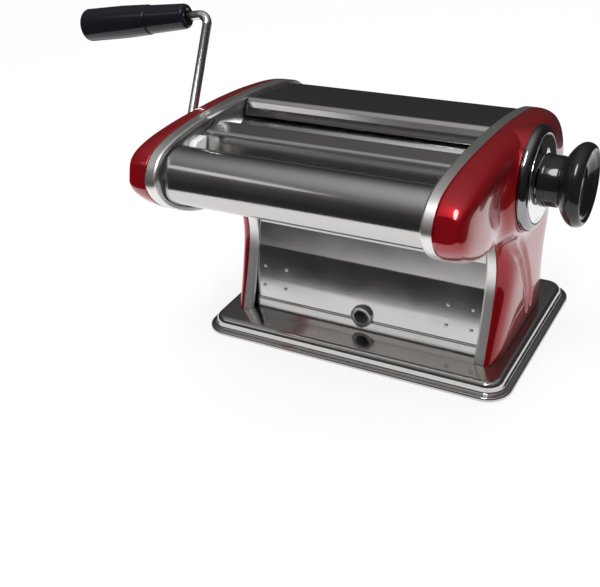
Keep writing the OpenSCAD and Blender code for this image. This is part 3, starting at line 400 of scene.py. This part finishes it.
# ---- Side covers: a height over the side outline, in arrays of points [y, height above the deck] ----
EDGE_POWER, PILLOW_POWER, NOSE_U = 6, 1 / 2.2, 0.2
HEAD_RISE_BELOW, HEAD_RISE_RUN = 12, 30
DIPS = [((-62, 97), 18, 18, 3.2), ((-60, 119), 21, 11, 3.4)]  # centre, half sizes along Y and Z, depth
GROOVE_LINE = np.array([(-34, 80), (-27, 73), (-13, 57), (0, 36), (8, 19), (12, 4)], float)
# Each groove's bed lies off the line by a signed distance; it falls from the front and rises to the back
GROOVE_BEDS, GROOVE_FALL, GROOVE_RISE, GROOVE_DEPTH = (-2.6, 4.2), 3.6, 3.0, 1.5
GROOVE_FADE_IN, GROOVE_FADE_OUT = 2.2, 10
DIAL_IN_SIDE = np.array([DIAL_Y, DIAL_Z - BASE_H])
DIAL_FLAT, DIAL_FADE, SEAT_RELIEF = 2, 6, 0.3
RIM_ANGLE, FIRST_ROW, ROW_SPREAD = 88, 0.09, 1.35


def line_place(points):
    """Signed distance of each point from the groove line, positive behind it, and its place along it."""
    best, side, place = np.full(len(points), 1e9), np.zeros(len(points)), np.zeros(len(points))
    for k, (a, b) in enumerate(zip(GROOVE_LINE, GROOVE_LINE[1:])):
        along = b - a
        t = np.clip((points - a) @ along / float(along @ along), 0, 1)
        gap = points - a - t[:, None] * along
        far = np.hypot(gap[:, 0], gap[:, 1])
        nearer = far < best
        best = np.where(nearer, far, best)
        side = np.where(nearer, np.copysign(far, gap @ left_normal(along)), side)
        place = np.where(nearer, (k + t) / (len(GROOVE_LINE) - 1), place)
    return side, place


def with_grooves(bulge, points):
    """The bulge with the leg's two grooves sunk into it."""
    side, place = line_place(points)
    force = smooth(place * GROOVE_FADE_IN) * smooth((1 - place) * GROOVE_FADE_OUT)
    for bed in GROOVE_BEDS:
        away = side - bed
        beside = np.where(away < 0, -away / GROOVE_FALL, away / GROOVE_RISE)
        bulge = bulge - GROOVE_DEPTH * force * smooth(1 - beside)
    return bulge


def bulge_over(points, dial):
    """How far a cover stands out at each point; the one with the dial is flat under its seat."""
    y, z = points[:, 0], points[:, 1]
    leg = lerp(FOOT_BULGE, LEG_BULGE, np.clip(z / THROAT_H, 0, 1))
    bulge = leg + (COVER_BULGE - LEG_BULGE) * smooth((z - THROAT_H + HEAD_RISE_BELOW) / HEAD_RISE_RUN)
    for (y0, z0), half_y, half_z, depth in DIPS:
        bulge = bulge - depth * np.exp(-((y - y0) / half_y) ** 2 - ((z - z0) / half_z) ** 2)
    bulge = with_grooves(bulge, points)
    if not dial:
        return bulge
    away = np.hypot(y - DIAL_IN_SIDE[0], z - DIAL_IN_SIDE[1])
    near = np.exp(-(np.maximum(away - DIAL_SEAT_R + DIAL_FLAT, 0) / DIAL_FADE) ** 2)
    return lerp(bulge, DIAL_SEAT_X - COVER_IN - SEAT_RELIEF, near)


def cover_row(u, across, inset, dial):
    """One row of a cover from the crest to the lower edge: [x, y, z] for each place across, -1 to 1."""
    half = (across[:, None] + 1) / 2
    points = lerp(upper_in(u, inset), lower_in(u, inset), half)
    pillow = np.clip(1 - np.abs(across) ** EDGE_POWER, 0, 1) ** PILLOW_POWER
    nose = 1 if u >= NOSE_U else max(1 - (1 - u / NOSE_U) ** 3, 0) ** PILLOW_POWER
    rise = (bulge_over(points, dial) - inset) * pillow * nose
    height = points[:, 1] if u < 1 else 0 * rise
    return np.column_stack((COVER_IN + rise, points[:, 0], BASE_H + height))


def cover_piece(name, sign, replaced, rows=230, cols=120):
    """A moulded cover: an outer and an inner surface, joined round the rim."""
    angles = np.radians(np.linspace(-RIM_ANGLE, RIM_ANGLE, cols + 1))
    across = np.sin(angles) / math.sin(math.radians(RIM_ANGLE))
    points = []
    for inset in (0, COVER_T):
        for i in range(rows + 1):
            row = cover_row(lerp(FIRST_ROW, 1, i / rows) ** ROW_SPREAD, across, inset, sign > 0)
            if i == 0:
                row[:, 0] = COVER_IN
            points += [(sign * x, y, z) for x, y, z in row]
    width, inner = cols + 1, (rows + 1) * (cols + 1)
    faces = grid_faces(rows + 1, width) + grid_faces(rows + 1, width, start=inner)
    sides = [[i * width + j for i in range(rows + 1)] for j in (0, cols)]
    ends = [[i * width + j for j in range(width)] for i in (0, rows)]
    for rim in sides + ends:
        faces += [(a, b, inner + b, inner + a) for a, b in zip(rim, rim[1:])]
    return add_piece(name, points, faces, "cover_red", "frame", replaced)


SEAT_BORE_R, SEAT_LEAST_R, SEAT_DEPTH, SEAT_MARGIN = 26, 26.9, 11.5, 1
SAME_WAY = 0.97  # cosine of the widest angle at which a crest point counts as straight ahead


def room_before_crest(crest, way):
    """Distance from the dial's centre to the cover's crest, straight out along way."""
    return min((float(c @ way) for c in crest if float(c @ way) > SAME_WAY * np.hypot(*c)), default=math.inf)


def dial_surround(sides=144):
    """The seat behind the dial: a ring that follows the cover's outline where the dial reaches past it."""
    crest = [upper_in(lerp(0.15, 0.8, k / 200), 0) - DIAL_IN_SIDE for k in range(201)]
    back, front = DIAL_SEAT_X - SEAT_DEPTH, DIAL_SEAT_X
    eased, eased_half = 0.5, 0.15
    points = []
    for k in range(sides):
        angle = 2 * math.pi * k / sides
        way = np.array([math.cos(angle), math.sin(angle)])
        room = room_before_crest(crest, way) - SEAT_MARGIN
        reach = max(min(BEZEL_R + SEAT_MARGIN, room), SEAT_LEAST_R)
        ring = [(SEAT_BORE_R, front), (reach - eased, front), (reach - eased_half, front - eased_half),
                (reach, front - eased), (reach, back), (SEAT_BORE_R, back)]
        points += [(x, DIAL_Y + r * way[0], DIAL_Z + r * way[1]) for r, x in ring]
    add_piece("dial_surround_boss", points, grid_faces(sides, len(ring), wrap_cols=True, wrap_rows=True),
              "cover_red", "frame", ("dial_surround",))


# ---- Trims: a profile of [x, inset] carried round the outline ----
FLANGE_T, FLANGE_DEPTH, FLANGE_EDGE = 1.1, 2.5, 0.55


def trim_profile():
    """A band that covers the edge of the side, with a flange turned in against the plate."""
    flange_x = HALF_W + FLANGE_T
    corners = [(HALF_W, FLANGE_EDGE), (HALF_W, FLANGE_DEPTH), (flange_x, FLANGE_DEPTH), (flange_x, TRIM_T),
               (COVER_IN, TRIM_T), (COVER_IN, 0), (flange_x, 0)]
    return rounded(corners, [0.5, 0.3, 0.3, 0.3, 0.1, 0.25, 0.7], steps=4)


def trim_ring(profile, edge, u, sign):
    """The profile at u on an edge; it stands on the deck at the edge's end."""
    ring = []
    for x, inset in profile:
        y, height = edge(u, inset)
        if u == 1:
            y, height = -TOE_REACH + inset if edge is lower_in else HEEL_REACH - inset, 0
        ring.append((sign * x, y, BASE_H + max(height, 0)))
    return ring


def trim_piece(name, sign, replaced, steps=150):
    profile = trim_profile()
    places = [i / steps for i in range(steps + 1)]
    run = [(lower_in, u) for u in places[::-1]] + [(upper_in, u) for u in places[1:]]
    points = [point for edge, u in run for point in trim_ring(profile, edge, u, sign)]
    width, count = len(profile), len(points)
    faces = grid_faces(len(run), width, wrap_cols=True)
    faces += [tuple(range(width)), tuple(range(count - width, count))]
    return add_piece(name, points, faces, "trim_chrome", "frame", replaced)


# ---- Base: a profile of [distance outward from the deck's edge, height] carried round a rectangle ----
def base_profile():
    """A round shoulder, a shallow groove and a rolled lip outside, and the sheet's inner face below."""
    r, wall, lip_wall = SHOULDER_R, 1.4, 1.2
    shoulder = [(-r + r * math.sin(math.radians(a)), BASE_H - r + r * math.cos(math.radians(a)))
                for a in range(0, 91, 10)]
    groove = LIP_H + FOOT_GAP + 0.1
    lip = [(0.15, groove + 1.2), (0.5, groove + 0.35), (1.2, groove), (LIP_W - 1.4, groove - 0.1),
           (LIP_W - 0.7, groove - 0.35), (LIP_W - 0.2, groove - 0.9), (LIP_W, groove - 1.6),
           (LIP_W, FOOT_GAP + 0.5), (LIP_W - 0.3, FOOT_GAP), (LIP_W - lip_wall, FOOT_GAP)]
    inside = [(LIP_W - lip_wall, FOOT_GAP + 0.8), (-wall, FOOT_GAP + 1.2), (-wall, BASE_H - r - 0.2),
              (-r, BASE_H - wall)]
    return shoulder + lip + inside


def corner_stations(width, depth, radius, steps=16):
    """[corner's centre, way out] at each step round the four corners of a rectangle."""
    stations = []
    for x, y, first in ((1, 1, 0), (-1, 1, 90), (-1, -1, 180), (1, -1, 270)):
        centre = (x * (width / 2 - radius), y * (depth / 2 - radius))
        stations += [(centre, turned_by(first + 90 * k / steps)) for k in range(steps + 1)]
    return stations


def base_piece():
    profile, deck_r = base_profile(), BASE_CORNER_R - LIP_W
    stations = corner_stations(BASE_W - 2 * LIP_W, BASE_D - 2 * LIP_W, deck_r)
    points = [(cx + dx * (deck_r + out), cy + dy * (deck_r + out), z)
              for (cx, cy), (dx, dy) in stations for out, z in profile]
    count, width = len(stations), len(profile)
    faces = grid_faces(count, width, wrap_rows=True)
    faces += [tuple(i * width for i in range(count)), tuple(i * width + width - 1 for i in range(count))]
    return add_piece("base_shell", points, faces, "chrome_sheet", "frame", ("base_plate",))


# ---- Sheets between the sides: a bent profile of [y, height above the deck] carried along X ----
PLATE_IN = HALF_W + TRIM_T
FIT_X, PANEL_X = PLATE_IN - 0.05, HALF_W - 0.05
FRONT_CUTTER = np.array([-98, 117.5])
SHEET_T, SHEET_INSET, SHEET_END_R, END_EASE = 1.3, 2.0, 0.3, 0.15
LEAST_MITER, LEAST_BEND = 0.6, 0.2
BAR_R, BAR_FROM, BAR_TO, BAR_POINTS = 16, 245, 48, 72
ROLLER_R, RIDGE_RISE = 14, 10.4
GUIDE_U, SPLIT_U, SPLIT_GAP_U = 0.34, 0.8, 0.004
UNDER_FROM_U, UNDER_TO_U = 0.287, 0.497
DECK_GAP = 0.1


def bent_sheet(path, thickness, bend_r=1.2):
    """Closed outline of a sheet that follows a path; a positive thickness lies to its left."""
    path = [np.array(q, float) for q in path]
    back = []
    for i, q in enumerate(path):
        a, b = path[max(i - 1, 0)], path[min(i + 1, len(path) - 1)]
        normal = left_normal(b - a)
        step = q - a if i else b - q
        miter = max(abs(float(left_normal(step) @ normal)), LEAST_MITER)
        back.append(q + thickness / miter * normal)
    outline = path + back[::-1]
    ends = {0, len(path) - 1, len(path), 2 * len(path) - 1}
    radii = [SHEET_END_R if i in ends else bend_r for i in range(len(outline))]
    return rounded(outline, radii, least_turn=LEAST_BEND)


def inner_side(outline):
    """1 if the outline runs anticlockwise, so that its left side is the inside; otherwise -1."""
    area = sum(a[0] * b[1] - a[1] * b[0] for a, b in zip(outline, outline[1:] + outline[:1]))
    return 1 if area > 0 else -1


def sheet_piece(name, outline, half_x, replaced):
    """Carries a closed outline from -half_x to half_x, with eased ends."""
    spans = [(-half_x, END_EASE), (-half_x + END_EASE, 0), (half_x - END_EASE, 0), (half_x, END_EASE)]
    points, count, inside = [], len(outline), inner_side(outline)
    for x, ease in spans:
        for k, q in enumerate(outline):
            normal = left_normal(outline[(k + 1) % count] - outline[k - 1])
            y, height = q + ease * normal * inside
            points.append((x, y, height + BASE_H))
    faces = grid_faces(len(spans), count, wrap_cols=True)
    faces += [tuple(range(count)), tuple(range(len(points) - count, len(points)))]
    return add_piece(name, points, faces, "chrome_sheet", "frame", replaced)


def front_bar():
    """The rolled cover round the front cutter, with its upper edge turned down."""
    centre = FRONT_CUTTER + (-1, 2.5)
    arc = [centre + BAR_R * turned_by(a) for a in np.linspace(BAR_FROM, BAR_TO, BAR_POINTS)]
    outline = bent_sheet(arc + [arc[-1] + (0.5, -1.5), arc[-1] + (0.3, -5.5)], -SHEET_T)
    sheet_piece("front_bar_sheet", outline, FIT_X, ("front_bar_cover",))


def center_ridge():
    """The flat cover between the rollers and the cutters, turned down at both edges."""
    front, back, top = REAR_CUTTER_Y + 7.2, DRIVE_Y - 3.8, DRIVE_Z - BASE_H + ROLLER_R + RIDGE_RISE
    path = [(back, top - 6.5), (back, top - 2.2), (back - 0.8, top - 0.6), (back - 2.4, top),
            (front + 2, top - 1.1), (front + 0.6, top - 1.7), (front - 0.2, top - 3), (front - 3.4, top - 15)]
    sheet_piece("center_sheet", bent_sheet(path, SHEET_T), FIT_X, ("center_cover",))


def rear_top():
    """The rear cover: a lip behind the rollers, and the crest down to the split."""
    crest = upper_in(GUIDE_U, SHEET_INSET)
    lip = [crest + q for q in ((-6, -9), (-4.6, -4.6), (-2.4, -1.4))]
    path = lip + [upper_in(lerp(GUIDE_U, SPLIT_U, k / 80), SHEET_INSET) for k in range(81)]
    sheet_piece("rear_sheet", bent_sheet(path, -SHEET_T, 2.5), PANEL_X, ("rear_cover",))


def leg_back():
    path = [upper_in(lerp(SPLIT_U + SPLIT_GAP_U, 1, k / 30), SHEET_INSET) for k in range(31)]
    path[-1] = np.array([path[-1][0], DECK_GAP])
    sheet_piece("leg_back_sheet", bent_sheet(path, -SHEET_T), PANEL_X, ("leg_back_panel",))


def under_head():
    path = [lower_in(lerp(UNDER_FROM_U, UNDER_TO_U, k / 30), SHEET_INSET) for k in range(31)]
    sheet_piece("under_sheet", bent_sheet(path, SHEET_T), PANEL_X, ("under_cover",))


PANEL_FOOT = np.array([-TOE_REACH + 6.5, DECK_GAP])
PANEL_HIGH = np.array([-WAIST_FRONT + 1.2, THROAT_H - 31])
PANEL_FOLD_H, PANEL_STEP_H, PANEL_STEP = 39.5, (6.2, 6.9), 0.7
PANEL_BACK_H = 20  # from here up the panel lies straight to its fold
CLAMP_H, CLAMP_R, CLAMP_CUT = 9, 7.05, (0, 30)
RIVET_R, RIVET_RISE, RIVET_SUNK = 1.15, 0.55, 0.4
RIVET_X, RIVET_H = (-70.5, -55, 55, 70.5), (15, 27.5)


def panel_at(h):
    """Front of the sloping leg panel at a height above the deck."""
    return lerp(PANEL_FOOT, PANEL_HIGH, h / PANEL_HIGH[1])


def leg_front():
    """The sloping panel: a small step near its foot, a fold under the head, and the clamp's hole."""
    low, high = (panel_at(h) for h in PANEL_STEP_H)
    fold = panel_at(PANEL_FOLD_H)
    path = [PANEL_FOOT, low, high + (PANEL_STEP, 0), panel_at(PANEL_BACK_H), fold, fold + (0.6, 1.5),
            (-WAIST_FRONT + 3, THROAT_H - 20), (-WAIST_FRONT - 1, THROAT_H + 2)]
    panel = sheet_piece("leg_front_sheet", bent_sheet(path, -SHEET_T), PANEL_X, ("leg_front_panel",))
    mouth = (0, -TOE_REACH - 5, BASE_H + CLAMP_H)
    cut_with(panel, [plug("cut_clamp", CLAMP_R, CLAMP_CUT, mouth, (0, 1, 0), "chrome_sheet")])


def rivet_heads(sides=24):
    """Low domed rivets, four in each half of the leg panel."""
    outward = (0, *left_normal(PANEL_HIGH - PANEL_FOOT))
    edge_h, core = 0.1, 0.02
    dome = [(RIVET_R * out, edge_h + (RIVET_RISE - edge_h) * up)
            for out, up in map(turned_by, range(0, 90, 15))]
    section = [(core, -RIVET_SUNK), (RIVET_R, -RIVET_SUNK)] + dome + [(core, RIVET_RISE)]
    points, faces = [], []
    for x in RIVET_X:
        for h in RIVET_H:
            y, z = panel_at(h)
            faces += grid_faces(sides, len(section), wrap_cols=True, wrap_rows=True, start=len(points))
            points += turned(section, (x, y, z + BASE_H), outward, sides)
    add_piece("panel_rivet_heads", points, faces, "rivet_pale", "frame", ("panel_rivets",))


# ---- Dial, knob and crank ----
DIAL_CENTRE = (0, DIAL_Y, DIAL_Z)
ALONG_X = (1, 0, 0)
HOUSING_BACK, HOUSING_R, HOUSING_BORE_R = 87.6, 25.7, 7.04
KNOB_END, KNOB_RIM, KNOB_RIM_R, FLARE_POWER, DISH_DEPTH, CAP_R = KNOB_X + KNOB_LEN, 4.4, 2.8, 0.8, 4, 10
SPINDLE_R, CHAMBER_R, SPRING_SEAT, SKIRT_DEPTH, SKIRT_WALL = 5.04, 8.4, 8.6, 5.1, 2.2
SPRING_R, SPRING_WIRE_R, SPRING_TURNS = 6.7, 0.55, 4


def dial_housing(steps=14):
    """The domed bezel round the dial's disc, and the housing behind it."""
    flange = DIAL_SEAT_X
    dome = []
    for k in range(steps + 1):
        out, up = turned_by(90 * k / steps)
        dome.append((lerp(DISC_R + 0.9, BEZEL_R, out), lerp(flange + 1.2, BEZEL_X1, up)))
    foot = [(HOUSING_BORE_R, HOUSING_BACK), (HOUSING_R, HOUSING_BACK), (HOUSING_R, flange),
            (BEZEL_R - 0.4, flange), (BEZEL_R, flange + 0.4)]
    well = [(DISC_R + 0.3, BEZEL_X1 - 0.2), (DISC_R + 0.3, DISC_X0), (HOUSING_BORE_R, DISC_X0)]
    lathe("dial_bezel", foot + dome + well, DIAL_CENTRE, ALONG_X, "dial_black", "frame", ("dial_housing",))


def knob_skirt():
    """Outside of the knob's skirt: a collar, a plain stretch and a thin groove."""
    collar_r, collar_end, groove_end = SKIRT_R + 0.5, KNOB_X + COLLAR_H, KNOB_X + FLANGE_AT
    return [(SKIRT_R - SKIRT_WALL, KNOB_X), (collar_r - 0.5, KNOB_X), (collar_r, KNOB_X + 0.5),
            (collar_r, collar_end - 0.3), (collar_r - 0.2, collar_end), (SKIRT_R, collar_end),
            (SKIRT_R, groove_end - 2), (SKIRT_R - 0.8, groove_end - 1.5), (SKIRT_R - 0.8, groove_end - 0.5)]


def knob():
    """The adjusting knob: a skirt that flares to a round rim, a dished face and the spring's chamber."""
    rim_x, dish = KNOB_END - KNOB_RIM, KNOB_END - DISH_DEPTH
    flare, rim = [], []
    for k in range(15):
        t = k / 14
        swell = math.sin(math.radians(90 * t)) ** FLARE_POWER
        flare.append((lerp(SKIRT_R, KNOB_R, swell), lerp(KNOB_X + FLANGE_AT, rim_x, t)))
    for k in range(1, 11):
        out, up = turned_by(9 * k)
        rim.append((KNOB_R - KNOB_RIM_R + KNOB_RIM_R * out, rim_x + KNOB_RIM * up))
    bowl = [(KNOB_R - 3.1, KNOB_END - 0.1), (KNOB_R - 3.6, KNOB_END - 0.5)]
    bowl += [(lerp(KNOB_R - 4.4, CAP_R, k / 12), lerp(KNOB_END - 1.2, dish, smooth(k / 12)))
             for k in range(13)]
    seat, depth = KNOB_X + SPRING_SEAT, KNOB_X + SKIRT_DEPTH
    inside = [(CAP_R, dish - 1.8), (CHAMBER_R, dish - 1.8), (CHAMBER_R, seat), (SPINDLE_R, seat),
              (SPINDLE_R, depth), (SKIRT_R - SKIRT_WALL, depth)]
    lathe("knob_body", knob_skirt() + flare + rim + bowl + inside, DIAL_CENTRE, ALONG_X, "knob_black", "knob",
          ("adjusting_knob",))


def knob_spring(sides=8, per_turn=32):
    """The spring inside the knob: a coil of round wire that spans the CAD spring's length."""
    low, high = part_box("knob_spring")
    start, end = low.x / MM + SPRING_WIRE_R, high.x / MM - SPRING_WIRE_R
    rings = SPRING_TURNS * per_turn + 1
    points = []
    for ring in range(rings):
        turn = math.tau * ring / per_turn
        for k in range(sides):
            around = math.tau * k / sides
            r = SPRING_R + SPRING_WIRE_R * math.cos(around)
            points.append((lerp(start, end, ring / (rings - 1)) + SPRING_WIRE_R * math.sin(around),
                           DIAL_Y + r * math.cos(turn), DIAL_Z + r * math.sin(turn)))
    faces = grid_faces(rings, sides, wrap_cols=True)
    faces += [tuple(range(sides)), tuple(range(len(points) - sides, len(points)))]
    spring = add_piece("knob_spring_wire", points, faces, "spring_steel", "eccentric", ("knob_spring",))
    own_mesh(spring)


# The wrist of the bent crank rod and the way the grip points, as in the part's source
GRIP_AXIS = Vector((-0.98902, -0.08265, -0.12254))
WRIST = Vector((-108.19, -8.06, 190.39))
GRIP_START, GRIP_LEN, GRIP_R, GRIP_BORE_R = 14.605, 76, 10, 2.9
GRIP_CAP_R, GRIP_CAP_DEPTH = 4.65, 8


def grip():
    """The crank's grip: a narrow collar, a step, and a body that widens to its end."""
    collar, cap_seat = 0.36 * GRIP_LEN, GRIP_LEN - GRIP_CAP_DEPTH
    corners = [(GRIP_BORE_R, 0), (GRIP_R - 4.2, 0), (GRIP_R - 2.8, 1), (GRIP_R - 2.4, 2.6),
               (GRIP_R - 1.4, collar - 0.8), (GRIP_R - 1.7, collar), (GRIP_R - 0.9, collar + 0.6),
               (GRIP_R - 0.1, 0.62 * GRIP_LEN), (GRIP_R, GRIP_LEN), (GRIP_CAP_R, GRIP_LEN),
               (GRIP_CAP_R, cap_seat), (GRIP_BORE_R, cap_seat)]
    section = rounded(corners, [0, 0.6, 1, 2, 0.6, 0.3, 0.8, 20, 5, 0.3, 0, 0], steps=8)
    origin = WRIST + GRIP_AXIS * GRIP_START
    lathe("grip_body", section, origin, GRIP_AXIS, "grip_black", "grip", ("crank_grip",))


# ---- Build ----
DIAL_MOUTH_R, DIAL_MOUTH_CUT = 26.4, (70, 110)
SHAFT_MOUTHS = [("crank", DRIVE_Y, DRIVE_Z, 9.05), ("cutter", REAR_CUTTER_Y, REAR_CUTTER_Z, 7.05)]
SHAFT_MOUTH_CUT = (83, 101)
SHARP = {"front_cutter_roll", "rear_cutter_roll", "drive_gear", "adjustable_gear"}  # nodes with fine teeth
SHARP_BEVEL, BEVEL = 0.08, 0.25


def right_side():
    cover = cover_piece("right_cover_shell", 1, ("right_side_cover",))
    cut_with(cover, [plug("cut_dial", DIAL_MOUTH_R, DIAL_MOUTH_CUT, DIAL_CENTRE, ALONG_X, "cover_red")])
    dial_surround()


def left_side():
    cover = cover_piece("left_cover_shell", -1, ("left_side_cover",))
    cut_with(cover, [plug("cut_" + name, r, SHAFT_MOUTH_CUT, (0, y, z), (-1, 0, 0), "cover_red")
                     for name, y, z, r in SHAFT_MOUTHS])


def dress_cad_nodes():
    """Dresses each CAD node that no piece replaces."""
    for name, node in NODES.items():
        if not node.hide_render:
            dress(name, SHARP_BEVEL if name in SHARP else BEVEL)


base_piece()
right_side()
left_side()
trim_piece("right_trim_band", 1, ("right_side_trim",))
trim_piece("left_trim_band", -1, ("left_side_trim",))
dial_housing()
knob()
knob_spring()
grip()
front_bar()
center_ridge()
rear_top()
leg_back()
under_head()
leg_front()
rivet_heads()
dress_cad_nodes()


# ---- Camera, lights and floor, in metres ----
CAMERA_PLACE = (0.2397, -0.4917, 0.3501)
CAMERA_ANGLES = (31.95, 31.25, -5.24)  # azimuth, elevation and roll in degrees
FOCAL_PX, PHOTO_W_PX, SENSOR_MM = 985.4, 600, 36
FLOOR_HALF, FLOOR_COLOUR = 8, (0.93, 0.93, 0.93)
WHITER_FROM, WHITER_TO, NEAR_SHARE = 0.3, 2.5, 0.8
SKY_COLOUR, SKY_STRENGTH = (0.95, 0.97, 1, 1), 0.55
WHITE = (1, 1, 1, 1)
# Rings of [radius, height, brightness] of cards that paint the metal's reflection, dark low and lighter high
PAINTED_REFLECTION_FLOOR_RINGS = [(0.34, 0.001, 0.03), (1.2, 0.001, 0.03)]
PAINTED_REFLECTION_WALL_RINGS = [(1.2, 0.001, 0.03), (1.2, 0.6, 0.045), (1.15, 1.1, 0.15), (1.0, 1.7, 0.35), (0.7, 2.3, 0.5),
             (0.01, 2.6, 0.6)]


def set_camera():
    """The camera as fitted to the photograph."""
    azimuth, elevation, roll = (math.radians(a) for a in CAMERA_ANGLES)
    level = math.cos(elevation)
    forward = Vector((-math.sin(azimuth) * level, math.cos(azimuth) * level, -math.sin(elevation)))
    right = Vector((math.cos(azimuth), math.sin(azimuth), 0))
    down = forward.cross(right)
    image_x = math.cos(roll) * right - math.sin(roll) * down
    image_y = math.sin(roll) * right + math.cos(roll) * down
    data = bpy.data.cameras.new("photo_camera")
    data.sensor_width, data.lens = SENSOR_MM, FOCAL_PX * SENSOR_MM / PHOTO_W_PX
    data.clip_start, data.clip_end = 0.01, 20
    camera = bpy.data.objects.new("photo_camera", data)
    turn = Matrix((image_x, -image_y, -forward)).transposed().to_4x4()
    camera.matrix_world = Matrix.Translation(Vector(CAMERA_PLACE)) @ turn
    bpy.context.scene.collection.objects.link(camera)
    bpy.context.scene.camera = camera


def softbox(name, place, aim, size, watts, mirrored=True):
    """An oval lamp; one that isn't mirrored lights the metal without a reflection in it."""
    data = bpy.data.lights.new(name, "AREA")
    data.shape, data.size, data.size_y, data.energy = "ELLIPSE", size[0], size[1], watts
    lamp = bpy.data.objects.new(name, data)
    lamp.location = place
    lamp.rotation_mode = "QUATERNION"
    lamp.rotation_quaternion = (Vector(aim) - Vector(place)).to_track_quat("-Z", "Y")
    lamp.visible_glossy = mirrored
    bpy.context.scene.collection.objects.link(lamp)


def background_rays(tree):
    """1 on camera, glossy and transmission rays."""
    path = tree.nodes.new("ShaderNodeLightPath")
    seen = path.outputs["Is Camera Ray"]
    for ray in ("Is Glossy Ray", "Is Transmission Ray"):
        either = tree.nodes.new("ShaderNodeMath")
        either.operation = "MAXIMUM"
        tree.links.new(seen, either.inputs[0])
        tree.links.new(path.outputs[ray], either.inputs[1])
        seen = either.outputs[0]
    return seen


def white_world():
    """Soft light for the object, and plain white where the background is seen or mirrored."""
    world = bpy.data.worlds.new("studio")
    bpy.context.scene.world = world
    world.use_nodes = True
    tree = world.node_tree
    light = tree.nodes["Background"]
    light.inputs["Color"].default_value = SKY_COLOUR
    light.inputs["Strength"].default_value = SKY_STRENGTH
    white = tree.nodes.new("ShaderNodeBackground")
    white.inputs["Color"].default_value = WHITE
    white.inputs["Strength"].default_value = 1.0
    mix = tree.nodes.new("ShaderNodeMixShader")
    tree.links.new(background_rays(tree), mix.inputs[0])
    tree.links.new(light.outputs[0], mix.inputs[1])
    tree.links.new(white.outputs[0], mix.inputs[2])
    tree.links.new(mix.outputs[0], tree.nodes["World Output"].inputs["Surface"])


def whiter_with_distance(tree):
    """Share of plain white in the floor: less near the object, where the shadow lies, and all far off."""
    place = tree.nodes.new("ShaderNodeTexCoord")
    far = tree.nodes.new("ShaderNodeVectorMath")
    far.operation = "LENGTH"
    share = tree.nodes.new("ShaderNodeMapRange")
    share.inputs["From Min"].default_value = WHITER_FROM
    share.inputs["From Max"].default_value = WHITER_TO
    share.inputs["To Min"].default_value = NEAR_SHARE
    share.inputs["To Max"].default_value = 1.0
    tree.links.new(place.outputs["Object"], far.inputs[0])
    tree.links.new(far.outputs["Value"], share.inputs["Value"])
    return share.outputs["Result"]


def floor():
    """Pale floor; the rays that see the background get mostly plain white, and some of the shadow."""
    mesh = bpy.data.meshes.new("floor")
    corners = [(x * FLOOR_HALF, y * FLOOR_HALF, 0) for x, y in ((-1, -1), (1, -1), (1, 1), (-1, 1))]
    mesh.from_pydata(corners, [], [(0, 1, 2, 3)])
    plane = bpy.data.objects.new("floor", mesh)
    bpy.context.scene.collection.objects.link(plane)
    material = shader("floor_white", FLOOR_COLOUR, roughness=0.9, specular=0.1)
    tree = material.node_tree
    white = tree.nodes.new("ShaderNodeEmission")
    white.inputs["Color"].default_value = WHITE
    white.inputs["Strength"].default_value = 1.0
    share = tree.nodes.new("ShaderNodeMath")
    share.operation = "MULTIPLY"
    tree.links.new(background_rays(tree), share.inputs[0])
    tree.links.new(whiter_with_distance(tree), share.inputs[1])
    mix = tree.nodes.new("ShaderNodeMixShader")
    tree.links.new(share.outputs[0], mix.inputs[0])
    tree.links.new(tree.nodes["Principled BSDF"].outputs[0], mix.inputs[1])
    tree.links.new(white.outputs[0], mix.inputs[2])
    tree.links.new(mix.outputs[0], tree.nodes["Material Output"].inputs["Surface"])
    mesh.materials.append(material)


def painted_reflection_card(name, rings, sides=96):
    """A glowing round card of [radius, height, brightness] rings that only glossy rays see: a painted
    reflection of a dark studio.
    """
    angles = [2 * math.pi * k / sides for k in range(sides)]
    points = [(r * math.cos(a), r * math.sin(a), z) for r, z, _ in rings for a in angles]
    mesh = bpy.data.meshes.new(name)
    mesh.from_pydata(points, [], grid_faces(len(rings), sides, wrap_cols=True))
    card = bpy.data.objects.new(name, mesh)
    bpy.context.scene.collection.objects.link(card)
    card.visible_camera = card.visible_diffuse = card.visible_transmission = False
    card.visible_shadow = card.visible_volume_scatter = False
    shade = mesh.color_attributes.new("shade", "FLOAT_COLOR", "POINT")
    for k, point in enumerate(shade.data):
        glow = rings[k // sides][2]
        point.color = (glow, glow, glow, 1)
    material = bpy.data.materials.new(name)
    material.use_nodes = True
    tree = material.node_tree
    glowing = tree.nodes.new("ShaderNodeEmission")
    colour = tree.nodes.new("ShaderNodeVertexColor")
    colour.layer_name = "shade"
    tree.links.new(colour.outputs["Color"], glowing.inputs["Color"])
    tree.links.new(glowing.outputs[0], tree.nodes["Material Output"].inputs["Surface"])
    mesh.materials.append(material)


set_camera()
softbox("overhead", (0.1, 0.15, 1.4), (0, 0, 0.08), (2.2, 1.8), 12, mirrored=False)
softbox("key", (0.085, -0.61, 1.236), (0.092, -0.115, 0.143), (0.26, 0.7), 8)
softbox("fill", (-0.9, -0.9, 0.7), (0, 0, 0.08), (0.9, 0.9), 1.6)
white_world()
floor()
# Painted reflection: glowing cards that show only in the metal's mirror images
painted_reflection_card("painted_reflection_floor", PAINTED_REFLECTION_FLOOR_RINGS)
painted_reflection_card("painted_reflection_wall", PAINTED_REFLECTION_WALL_RINGS)
bpy.context.scene.view_settings.view_transform = "Standard"
